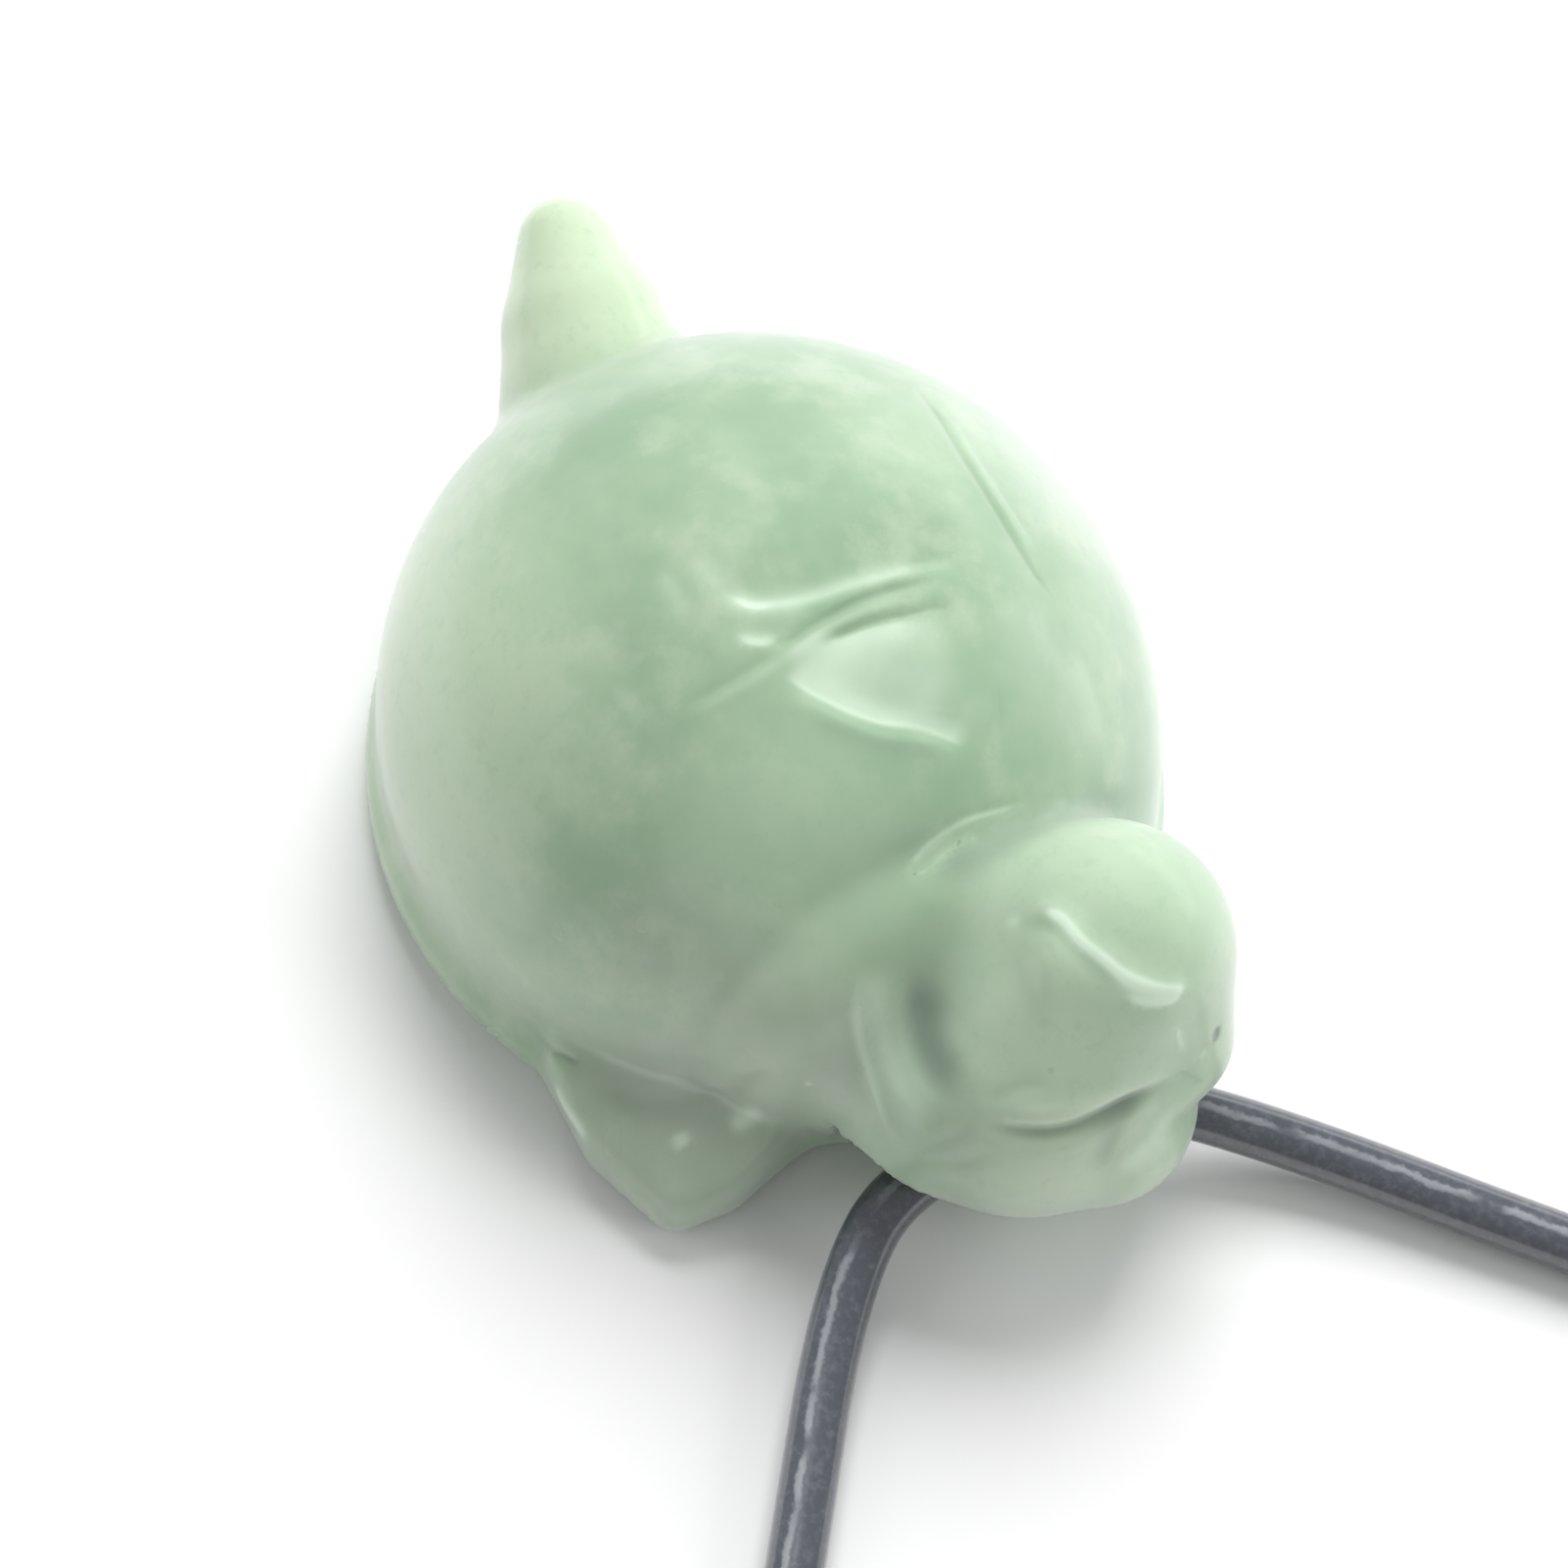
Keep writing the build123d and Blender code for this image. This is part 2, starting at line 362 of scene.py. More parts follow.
class Ink:
    """A number that a shader works with: it adds a Math node for each operation."""

    def __init__(self, recipe: "Recipe", socket: bpy.types.NodeSocket) -> None:
        """Wrap one output socket of a recipe's node."""
        self.recipe = recipe
        self.socket = socket

    def _with(self, operation: str, one: Any, other: Any) -> "Ink":
        """Add a Math node over two values."""
        node = self.recipe.node("ShaderNodeMath", {"operation": operation}, {0: one, 1: other})
        return Ink(self.recipe, node.outputs[0])

    def __add__(self, other: Any) -> "Ink":
        """Add."""
        return self._with("ADD", self, other)

    __radd__ = __add__

    def __mul__(self, other: Any) -> "Ink":
        """Multiply."""
        return self._with("MULTIPLY", self, other)

    __rmul__ = __mul__

    def __sub__(self, other: Any) -> "Ink":
        """Subtract."""
        return self._with("SUBTRACT", self, other)

    def __rsub__(self, other: Any) -> "Ink":
        """Subtract from a plain number."""
        return self._with("SUBTRACT", other, self)

    def between(self, low: float, high: float) -> "Ink":
        """Turn a range of values into a smooth step from 0 to 1.

        Args:
            low: The value that gives 0.
            high: The value that gives 1.

        Returns:
            The step.
        """
        node = self.recipe.node(
            "ShaderNodeMapRange",
            {"interpolation_type": "SMOOTHSTEP"},
            {"Value": self, "From Min": low, "From Max": high, "To Min": 0.0, "To Max": 1.0},
        )
        return Ink(self.recipe, node.outputs["Result"])


@dataclass(frozen=True)
class Grain:
    """One noise of a finish, and where its values show as patches.

    Its size is in millimetres. The patches start at low, are full at high and have a share of
    their own colour.
    """

    size: float
    detail: float = 4.0
    roughness: float = 0.5
    low: float = 0.0
    high: float = 1.0
    share: float = 1.0


class Recipe:
    """One material's nodes, from object coordinates to a Principled shader."""

    def __init__(self, name: str) -> None:
        """Start an empty material.

        Args:
            name: The material's name.
        """
        self.material = bpy.data.materials.new(name)
        self.material.use_nodes = True
        self.tree = self.material.node_tree
        self.tree.nodes.clear()
        places = self.node("ShaderNodeTexCoord").outputs
        self.where, self.own = places["Object"], places["UV"]

    def node(
        self,
        kind: str,
        settings: Optional[Dict[str, Any]] = None,
        inputs: Optional[Dict[Union[int, str], Any]] = None,
    ) -> bpy.types.Node:
        """Add one node.

        Args:
            kind: The node's type.
            settings: Its own properties, set before its sockets.
            inputs: A value, a socket or an Ink for each of its input sockets.

        Returns:
            The node.
        """
        node = self.tree.nodes.new(kind)
        for key, value in (settings or {}).items():
            setattr(node, key, value)
        for key, value in (inputs or {}).items():
            source = value.socket if isinstance(value, Ink) else value
            if isinstance(source, bpy.types.NodeSocket):
                self.tree.links.new(source, node.inputs[key])
            else:
                node.inputs[key].default_value = source
        return node

    def noise(self, grain: Grain, at: Optional[bpy.types.NodeSocket] = None) -> Ink:
        """Add a noise.

        Args:
            grain: Its size, octaves and roughness.
            at: The vector it reads, if not the object's coordinates.

        Returns:
            Its value, from 0 to 1.
        """
        node = self.node(
            "ShaderNodeTexNoise",
            inputs={
                "Vector": at or self.where,
                "Scale": 1.0 / (grain.size * MM),
                "Detail": grain.detail,
                "Roughness": grain.roughness,
            },
        )
        return Ink(self, node.outputs["Fac"])

    def patches(self, grain: Grain, noise: Optional[Ink] = None) -> Ink:
        """Give the share of a grain's patches, from its noise if that is there already."""
        return (noise or self.noise(grain)).between(grain.low, grain.high) * grain.share

    def stretched(self, scale: Point) -> bpy.types.NodeSocket:
        """Give object coordinates that are stretched."""
        node = self.node("ShaderNodeMapping", inputs={"Vector": self.where, "Scale": scale})
        return node.outputs["Vector"]

    def near(self, centre: Point, full: float, none: float) -> Ink:
        """Give a mask about a point.

        Args:
            centre: The point, in millimetres.
            full: The distance within which the mask is 1.
            none: The distance from which it is 0.

        Returns:
            The mask.
        """
        node = self.node(
            "ShaderNodeVectorMath",
            {"operation": "DISTANCE"},
            {0: self.where, 1: tuple(value * MM for value in centre)},
        )
        return 1.0 - Ink(self, node.outputs["Value"]).between(full * MM, none * MM)

    def tube_place(self) -> Tuple[Ink, Ink]:
        """Give the places along and around a tube, each from 0 to 1, from its own UV map."""
        parts = self.node("ShaderNodeSeparateXYZ", inputs={0: self.own}).outputs
        return Ink(self, parts["X"]), Ink(self, parts["Y"])

    def mixed(self, share: Any, one: Any, other: Any) -> bpy.types.NodeSocket:
        """Mix two colours.

        Args:
            share: How much of the other colour there is, from 0 to 1.
            one: A colour, or the socket that gives it.
            other: Another.

        Returns:
            The socket that gives the mixture.
        """
        one, other = (
            value if isinstance(value, bpy.types.NodeSocket) else (*value, 1.0)
            for value in (one, other)
        )
        node = self.node("ShaderNodeMix", {"data_type": "RGBA"}, {0: share, 6: one, 7: other})
        return node.outputs[2]

    def bump(
        self, height: Ink, strength: float, depth: float, under: Any = None
    ) -> bpy.types.NodeSocket:
        """Add a bump.

        Args:
            height: Its height, from 0 to 1.
            strength: How strong it is.
            depth: How deep it is, in millimetres.
            under: The bump that it lies on, if there is one.

        Returns:
            The socket that gives the bumped normal.
        """
        inputs = {"Height": height, "Strength": strength, "Distance": depth * MM}
        if under is not None:
            inputs["Normal"] = under
        return self.node("ShaderNodeBump", inputs=inputs).outputs["Normal"]

    def finish(self, **sockets: Any) -> bpy.types.Material:
        """End the recipe in a Principled shader.

        Args:
            **sockets: Values and links of the shader's sockets, with _ for a space in a name.

        Returns:
            The material.
        """
        named = {key.replace("_", " "): value for key, value in sockets.items()}
        shader = self.node("ShaderNodeBsdfPrincipled", inputs=named)
        self.node("ShaderNodeOutputMaterial", inputs={"Surface": shader.outputs["BSDF"]})
        return self.material


def uneven(noise: Ink, middle: float, spread: float) -> Ink:
    """Spread a value about its middle by a noise."""
    return noise * spread + (middle - spread / 2)


@dataclass(frozen=True)
class Zone:
    """A soft-edged ball of another colour within the stone, fully so near its centre."""

    centre: Point
    full: float
    none: float
    share: float
    colour: Colour


@dataclass(frozen=True)
class StoneFinish:
    """Pale green stone, cloudy and a little see-through, with a hand-polished skin."""

    body: Colour = (0.395, 0.545, 0.375)
    deep: Colour = (0.315, 0.470, 0.31)
    cloud: Colour = (0.51, 0.62, 0.465)
    # The colours of the strokes' painted shade and painted highlights.
    painted_shade: Colour = (0.17, 0.235, 0.18)
    rise: Colour = (0.76, 0.92, 0.75)
    clouds: Grain = Grain(7.0, 4.0, 0.6, 0.36, 0.62)
    veins: Grain = Grain(3.4, 6.0, 0.68, 0.46, 0.70, 0.6)
    grit: Grain = Grain(0.7, 5.0, 0.7, 0.50, 0.72, 0.22)
    polish: Grain = Grain(2.6, 2.0)
    swell: Grain = Grain(3.4, 2.0)
    pits: Grain = Grain(0.5, 3.0)
    painted_light_share: float = 0.75
    swell_strength: float = 0.35
    swell_depth: float = 0.10
    pit_strength: float = 0.25
    pit_depth: float = 0.012
    roughness: float = 0.24
    roughness_spread: float = 0.16
    see_through: float = 0.45
    see_through_depth: float = 3.0
    see_through_spread: Point = (0.9, 1.0, 0.8)
    bloom: float = 0.45
    bloom_roughness: float = 0.5
    refraction: float = 1.6
    zones: Tuple[Zone, ...] = (
        # Paler yellow-green tone of the tail, and painted light shining through it.
        Zone((-18.6, 0.4, 9.5), 3.5, 7.5, 0.75, (0.67, 0.79, 0.58)),  # tail
        # Whiter clouds on the left side, and painted light shining through its thin edge.
        Zone((-4.0, -12.5, 9.0), 3.0, 12.0, 0.80, (0.56, 0.72, 0.51)),  # left side
        Zone((15.8, 4.0, 12.0), 3.0, 8.0, 0.65, (0.53, 0.67, 0.50)),  # head
        Zone((15.5, -3.1, 8.7), 1.0, 4.5, 0.45, (0.50, 0.60, 0.49)),  # lobe
        # Painted light: the chin is made paler, standing in for light on its dim underside.
        Zone((19.5, 0.5, 7.5), 1.5, 5.0, 0.60, (0.55, 0.65, 0.50)),  # chin
        # Painted shade: the flipper is made greyer, as it lies low in the body's shade.
        Zone((12.0, -10.0, 3.0), 2.5, 6.5, 0.60, (0.41, 0.475, 0.395)),  # flipper
        # Painted shade: deeper green where the stone looks darker through its thickness.
        Zone((7.5, -1.0, 14.0), 1.0, 5.0, 0.30, (0.27, 0.46, 0.29)),  # green above the neck
        Zone((11.1, -1.4, 12.4), 1.0, 4.0, 0.75, (0.26, 0.38, 0.25)),  # green of the neck
        Zone((17.1, 1.3, 11.6), 1.0, 3.5, 0.45, (0.58, 0.71, 0.54)),  # under the brow
        Zone((8.8, -7.0, 10.8), 1.0, 4.0, 0.35, (0.45, 0.50, 0.41)),  # grey low on the shell
        Zone((12.8, -5.7, 9.0), 1.5, 4.5, 0.45, (0.45, 0.52, 0.42)),  # foot of the neck
        # Painted light: paler above the neck, standing in for light on a side the lamps leave dim.
        Zone((8.5, -3.5, 13.0), 2.0, 6.0, 0.50, (0.50, 0.66, 0.47)),  # pale above the neck
        # Painted light: the right side is made near white, for the glare at its edge.
        Zone((-2.5, 13.3, 9.5), 2.0, 7.5, 0.42, (0.74, 0.80, 0.74)),  # right side
        # Painted light: the flipper's top is made paler, standing in for light on a side the lamps
        # leave dim.
        Zone((11.1, -8.6, 4.3), 0.6, 2.8, 0.55, (0.52, 0.60, 0.49)),  # flipper's top
        Zone((6.6, 7.6, 12.8), 1.0, 4.5, 0.40, (0.41, 0.55, 0.41)),  # right of the scoop
        Zone((4.6, -8.3, 13.2), 0.08, 0.20, 0.70, (0.10, 0.14, 0.08)),  # speck
        Zone((18.3, 1.2, 10.7), 0.05, 0.20, 0.30, (0.16, 0.16, 0.08)),  # speck at the mouth
    )

    def made(self) -> bpy.types.Material:
        """Make the material, which reads the strokes' painted light and shade from the mesh.

        Returns:
            The material.
        """
        recipe = Recipe("pale_green_stone")
        colour = recipe.mixed(recipe.patches(self.clouds), self.deep, self.body)
        colour = recipe.mixed(recipe.patches(self.veins), colour, self.cloud)
        for zone in self.zones:
            inside = recipe.near(zone.centre, zone.full, zone.none)
            colour = recipe.mixed(inside * zone.share, colour, zone.colour)
        colour = recipe.mixed(recipe.patches(self.grit), colour, self.deep)
        # Mostly painted shade in the strokes' grooves, and painted highlights on their ridges and
        # walls.
        shade = recipe.node("ShaderNodeAttribute", {"attribute_name": PAINTED_LIGHT_AND_SHADE})
        cut = Ink(recipe, shade.outputs["Fac"])
        colour = recipe.mixed(cut.between(0.0, 1.0) * self.painted_light_share, colour, self.painted_shade)
        colour = recipe.mixed((0.0 - cut).between(0.0, 1.0) * self.painted_light_share, colour, self.rise)
        skin = recipe.bump(recipe.noise(self.swell), self.swell_strength, self.swell_depth)
        skin = recipe.bump(recipe.noise(self.pits), self.pit_strength, self.pit_depth, skin)
        return recipe.finish(
            Base_Color=colour,
            Roughness=uneven(recipe.noise(self.polish), self.roughness, self.roughness_spread),
            Normal=skin,
            IOR=self.refraction,
            Subsurface_Weight=self.see_through,
            Subsurface_Radius=self.see_through_spread,
            Subsurface_Scale=self.see_through_depth * MM,
            Sheen_Weight=self.bloom,
            Sheen_Roughness=self.bloom_roughness,
        )


@dataclass(frozen=True)
class LeatherFinish:
    """Black round leather cord with a dull, uneven shine and a painted highlight streak on top.

    Places along and around the cord are from 0 to 1. The streak starts and ends softly over two
    spans around the cord, and leans a little further round up to the head.
    """

    base: Colour = (0.050, 0.056, 0.070)
    worn: Colour = (0.12, 0.13, 0.15)
    painted_highlight: Colour = (0.27, 0.28, 0.30)
    fibre: Grain = Grain(0.32, 4.0, 0.6, 0.42, 0.75, 0.45)
    patch: Grain = Grain(1.5, 4.0, 0.6)
    streak: Grain = Grain(3.0, 4.0, 0.5, 0.36, 0.54)
    streak_share: float = 0.62
    streak_start: Tuple[float, float] = (0.164, 0.190)
    streak_end: Tuple[float, float] = (0.204, 0.230)
    head_span: Tuple[float, float] = (0.45, 0.50)
    lean: float = 0.04
    patch_sway: float = 0.07
    fibre_sway: float = 0.05
    patch_depth: float = 0.008
    fibre_depth: float = 0.001
    roughness: float = 0.20
    roughness_spread: float = 0.2
    refraction: float = 1.8
    coat: float = 0.6
    coat_roughness: float = 0.15

    def painted_streak(self, recipe: Recipe, patch: Ink, fibre: Ink) -> Ink:
        """Give the mask of the painted highlight streak.

        Args:
            recipe: The leather's recipe.
            patch: Its large noise.
            fibre: Its fine noise.

        Returns:
            The mask, ragged at its edges and broken along its length.
        """
        along, around = recipe.tube_place()
        place = around + (1.0 - along.between(*self.head_span)) * self.lean
        ragged = place + (patch - 0.5) * self.patch_sway + (fibre - 0.5) * self.fibre_sway
        painted_streak = ragged.between(*self.streak_start) * (1.0 - ragged.between(*self.streak_end))
        return painted_streak * recipe.patches(self.streak)

    def made(self) -> bpy.types.Material:
        """Make the material.

        Returns:
            The material.
        """
        recipe = Recipe("black_leather")
        fibre, patch = recipe.noise(self.fibre), recipe.noise(self.patch)
        colour = recipe.mixed(recipe.patches(self.fibre, fibre), self.base, self.worn)
        # Painted highlight along the top of the cord.
        painted_streak = self.painted_streak(recipe, patch, fibre)
        colour = recipe.mixed(painted_streak * self.streak_share, colour, self.painted_highlight)
        skin = recipe.bump(patch, 1.0, self.patch_depth)
        skin = recipe.bump(fibre, 1.0, self.fibre_depth, skin)
        return recipe.finish(
            Base_Color=colour,
            Roughness=uneven(patch, self.roughness, self.roughness_spread),
            Normal=skin,
            IOR=self.refraction,
            Coat_Weight=self.coat,
            Coat_Roughness=self.coat_roughness,
        )


@dataclass(frozen=True)
class SteelFinish:
    """Satin steel, turned on a lathe."""

    base: Colour = (0.56, 0.56, 0.57)
    dull: Colour = (0.40, 0.40, 0.41)
    marks: Grain = Grain(0.3, 4.0, 0.5, 0.3, 0.8, 0.4)
    stretch: Point = (0.15, 1.0, 0.15)
    mark_strength: float = 0.2
    mark_depth: float = 0.01
    roughness: float = 0.3
    roughness_spread: float = 0.2

    def made(self) -> bpy.types.Material:
        """Make the material.

        Returns:
            The material.
        """
        recipe = Recipe("satin_steel")
        marks = recipe.noise(self.marks, at=recipe.stretched(self.stretch))
        return recipe.finish(
            Base_Color=recipe.mixed(recipe.patches(self.marks, marks), self.base, self.dull),
            Metallic=1.0,
            Roughness=uneven(marks, self.roughness, self.roughness_spread),
            Normal=recipe.bump(marks, self.mark_strength, self.mark_depth),
        )


@dataclass(frozen=True)
class PaperFinish:
    """The plain white surface under everything."""

    base: Colour = (0.94, 0.94, 0.94)
    tinted: Colour = (0.91, 0.92, 0.93)
    tint: Grain = Grain(30.0, 2.0, share=0.15)
    tooth: Grain = Grain(0.6)
    tooth_strength: float = 0.1
    tooth_depth: float = 0.02
    roughness: float = 0.7

    def made(self) -> bpy.types.Material:
        """Make the material.

        Returns:
            The material.
        """
        recipe = Recipe("white_surface")
        share = recipe.noise(self.tint) * self.tint.share
        return recipe.finish(
            Base_Color=recipe.mixed(share, self.base, self.tinted),
            Roughness=self.roughness,
            Normal=recipe.bump(recipe.noise(self.tooth), self.tooth_strength, self.tooth_depth),
        )


def kept(name: str, data: Any) -> bpy.types.Object:
    """Put a new object in the scene, at the origin.

    Args:
        name: The object's name.
        data: Its mesh, curve, light or camera.

    Returns:
        The object.
    """
    thing = bpy.data.objects.new(name, data)
    bpy.context.scene.collection.objects.link(thing)
    return thing


def baked(thing: bpy.types.Object, name: str) -> bpy.types.Mesh:
    """Give the mesh that an object's modifiers make of it.

    Args:
        thing: The object.
        name: The new mesh's name.

    Returns:
        The new mesh.
    """
    graph = bpy.context.evaluated_depsgraph_get()
    mesh = bpy.data.meshes.new_from_object(thing.evaluated_get(graph), depsgraph=graph)
    mesh.name = name
    return mesh


@contextmanager
def edited(mesh: bpy.types.Mesh) -> Iterator[bmesh.types.BMesh]:
    """Open a mesh for bmesh operators, and write it back when they're done.

    Args:
        mesh: The mesh.

    Yields:
        The open mesh.
    """
    bm = bmesh.new()
    bm.from_mesh(mesh)
    yield bm
    bm.to_mesh(mesh)
    bm.free()


def spots_of(mesh: bpy.types.Mesh) -> Array:
    """Give a mesh's points as rows of an array.

    Args:
        mesh: The mesh.

    Returns:
        The points.
    """
    flat = np.empty(len(mesh.vertices) * 3, dtype=np.float32)
    mesh.vertices.foreach_get("co", flat)
    return flat.reshape(-1, 3).astype(np.float64)


def put_spots(mesh: bpy.types.Mesh, points: Array) -> None:
    """Move a mesh's points to the rows of an array."""
    mesh.vertices.foreach_set("co", points.astype(np.float32).ravel())
    mesh.update()


@dataclass
class Turtle:
    """The carved stone turtle: its round forms, the seams between them and the carver's strokes."""

    dome: Egg = Egg((-1.0, 0.3, 3.9), (15.2, 14.1, 12.8))
    flange: Egg = Egg((-0.9, 0.0, 1.6), (15.65, 14.55, 2.4))
    neck: Egg = Egg((10.6, 0.2, 5.2), (4.6, 8.3, 7.4))
    jaw: Ball = (15.5, 2.0, 5.6, 5.4)
    jaw_corner: Ball = (15.1, -0.7, 5.5, 4.0)
    chin: Ball = (17.8, 3.5, 5.0, 3.6)
    crown: Ball = (14.75, 5.15, 9.55, 4.45)
    muzzle: Ball = (17.3, 5.9, 7.4, 2.7)
    tail: Tuple[Ball, Ball, Ball] = (
        (-12.5, -0.55, 6.8, 4.3),
        (-16.93, 0.41, 8.5, 3.05),
        (-19.97, 1.06, 9.8, 1.8),
    )
    rear_foot: Tuple[Ball, Ball] = ((-11.6, 4.4, 2.1, 1.8), (-15.4, 5.6, 1.5, 1.2))
    flipper_outline: Tuple[Tuple[float, float], ...] = (
        (6.0, -6.0), (6.6, -12.5), (10.7, -12.4), (14.4, -11.0), (14.5, -8.4), (12.9, -3.2),
    )
    left_flipper_pull: float = 1.6
    drill: Drill = Drill()
    dome_seam: float = 0.1
    flange_seam: float = 1.2
    tail_seams: Tuple[float, float] = (0.6, 0.3)
    foot_seam: float = 0.5
    neck_seam: float = 0.35
    flipper_seam: float = 0.6
    face_seam: float = 0.15
    head_seam: float = 1.5
    hole_edge: float = 0.25
    belly_edge: float = 0.2
    node: str = "turtle"
    grain: float = 0.28
    settle_rounds: int = 3
    settle_steps: int = 2
    settle_limit: float = 0.4
    even_factor: float = 0.5
    slope_step: float = 0.02
    fine_widths: Tuple[float, float] = (0.5, 0.27)
    fine_weight: float = 0.12
    strokes: Dict[str, Stroke] = field(default_factory=dict)

    def forms(self) -> List[Tuple[Form, float]]:
        """List the body's forms in the order they are joined, each with its seam's width.

        Returns:
            The forms and the widths.
        """
        forms: List[Tuple[Form, float]] = [
            (self.dome, self.dome_seam),
            (self.flange, self.flange_seam),
        ]
        for one, other, seam in zip(self.tail, self.tail[1:], self.tail_seams):
            forms.append((Cone(one, other), seam))
        for side in Side:
            root, end = ((x, y * side.value, z, radius) for x, y, z, radius in self.rear_foot)
            forms.append((Cone(root, end), self.foot_seam))
        forms.append((self.neck, self.neck_seam))
        for side, pull in ((Side.RIGHT, 0.0), (Side.LEFT, self.left_flipper_pull)):
            forms.append((Paddle(self.flipper_outline, side=side, pull=pull), self.flipper_seam))
        return forms

    def head_forms(self) -> List[Form]:
        """List the head's forms in the order they are joined.

        Returns:
            A cone over each pair of balls.
        """
        pairs = (
            (self.jaw, self.crown),
            (self.jaw, self.muzzle),
            (self.crown, self.muzzle),
            (self.jaw, self.jaw_corner),
            (self.jaw, self.chin),
        )
        return [Cone(one, other) for one, other in pairs]

    def reach(self, points: Array) -> Array:
        """Give each point's signed distance from the whole turtle.

        Args:
            points: The points, in millimetres.

        Returns:
            A distance for each point, in millimetres.
        """
        body = head = np.full(len(points), FAR)
        for form, seam in self.forms():
            body = joined(form.reach(points), body, seam)
        for form in self.head_forms():
            head = joined(form.reach(points), head, self.face_seam)
        body = joined(head, body, self.head_seam)
        body = common(body, -self.drill.reach(points), self.hole_edge)
        return common(body, -points[:, 2], self.belly_edge)

    def outward(self, points: Array) -> Array:
        """Give the direction in which the distance grows at each point.

        Args:
            points: The points, in millimetres.

        Returns:
            A unit vector for each point.
        """
        here = self.reach(points)
        slope = np.empty_like(points)
        for axis in range(3):
            nudge = np.zeros(3)
            nudge[axis] = self.slope_step
            slope[:, axis] = self.reach(points + nudge) - here
        return slope / (np.linalg.norm(slope, axis=1)[:, None] + TINY)

    def blocked(self) -> bpy.types.Mesh:
        """Mesh a copy of the CAD solid evenly, so that its points can be carved.

        Returns:
            The mesh, in millimetres.
        """
        bm = bmesh.new()
        bm.from_mesh(bpy.data.objects[self.node].data)
        bmesh.ops.remove_doubles(bm, verts=bm.verts[:], dist=MM * MM)
        bmesh.ops.scale(bm, verts=bm.verts[:], vec=(1.0 / MM, 1.0 / MM, 1.0 / MM))
        mesh = bpy.data.meshes.new("turtle_block")
        bm.to_mesh(mesh)
        bm.free()
        block = kept("turtle_block", mesh)
        even = block.modifiers.new("even", "REMESH")
        even.mode, even.voxel_size = "VOXEL", self.grain
        made = baked(block, "turtle_stone")
        bpy.data.objects.remove(block)
        bpy.data.meshes.remove(mesh)
        return made

    def settled(self, mesh: bpy.types.Mesh) -> None:
        """Move the mesh's points onto the forms' own surface, evening them out between rounds.

        Args:
            mesh: The turtle's mesh, in millimetres.
        """
        for round_index in range(self.settle_rounds):
            if round_index:
                with edited(mesh) as bm:
                    every = {f"use_axis_{axis}": True for axis in "xyz"}
                    bmesh.ops.smooth_vert(bm, verts=bm.verts[:], factor=self.even_factor, **every)
            points = spots_of(mesh)
            for _ in range(self.settle_steps):
                away = np.clip(self.reach(points), -self.settle_limit, self.settle_limit)
                points -= self.outward(points) * away[:, None]
            put_spots(mesh, points)

    def refined(self, mesh: bpy.types.Mesh) -> None:
        """Divide the faces that the fine strokes cross, and those under the finest ones again.

        Args:
            mesh: The turtle's mesh, in millimetres.
        """
        for fine in self.fine_widths:
            points = spots_of(mesh)
            normals = self.outward(points)
            touched = np.zeros(len(points))
            for stroke in self.strokes.values():
                if min(stroke.left, stroke.right) < fine:
                    touched = np.maximum(touched, stroke.weight(points, normals))
            crossed = touched > self.fine_weight
            with edited(mesh) as bm:
                edges = [
                    edge for edge in bm.edges if all(crossed[vert.index] for vert in edge.verts)
                ]
                bmesh.ops.subdivide_edges(bm, edges=edges, cuts=1, use_grid_fill=True)
            points = spots_of(mesh)
            points -= self.outward(points) * self.reach(points)[:, None]
            put_spots(mesh, points)

    def carved(self, mesh: bpy.types.Mesh) -> None:
        """Press every stroke into the mesh or raise it, and keep its painted light and shade on it.

        Args:
            mesh: The turtle's mesh, in millimetres.
        """
        points = spots_of(mesh)
        normals = self.outward(points)
        depth = np.zeros(len(points))
        shade = np.zeros(len(points))
        for stroke in self.strokes.values():
            weight = stroke.weight(points, normals)
            depth += weight * stroke.depth
            shade += weight * stroke.shade
        points -= normals * depth[:, None]
        points[:, 2] = np.maximum(points[:, 2], 0.0)
        put_spots(mesh, points)
        # Keep the painted shade and painted highlights on the mesh for the material.
        tint = mesh.attributes.new(PAINTED_LIGHT_AND_SHADE, "FLOAT", "POINT")
        tint.data.foreach_set("value", np.clip(shade, -1.0, 1.0).astype(np.float32))

    def made(self, finish: StoneFinish) -> bpy.types.Object:
        """Build the turtle, dress it and fix it to the frame.

        Args:
            finish: The stone's finish.

        Returns:
            The turtle's object, in metres.
        """
        mesh = self.blocked()
        self.settled(mesh)
        self.refined(mesh)
        self.carved(mesh)
        mesh.transform(Matrix.Diagonal((MM, MM, MM, 1.0)))
        mesh.shade_smooth()
        mesh.materials.clear()
        mesh.materials.append(finish.made())
        turtle = kept("carved_turtle", mesh)
        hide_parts(self.node)
        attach(turtle, "root")
        return turtle


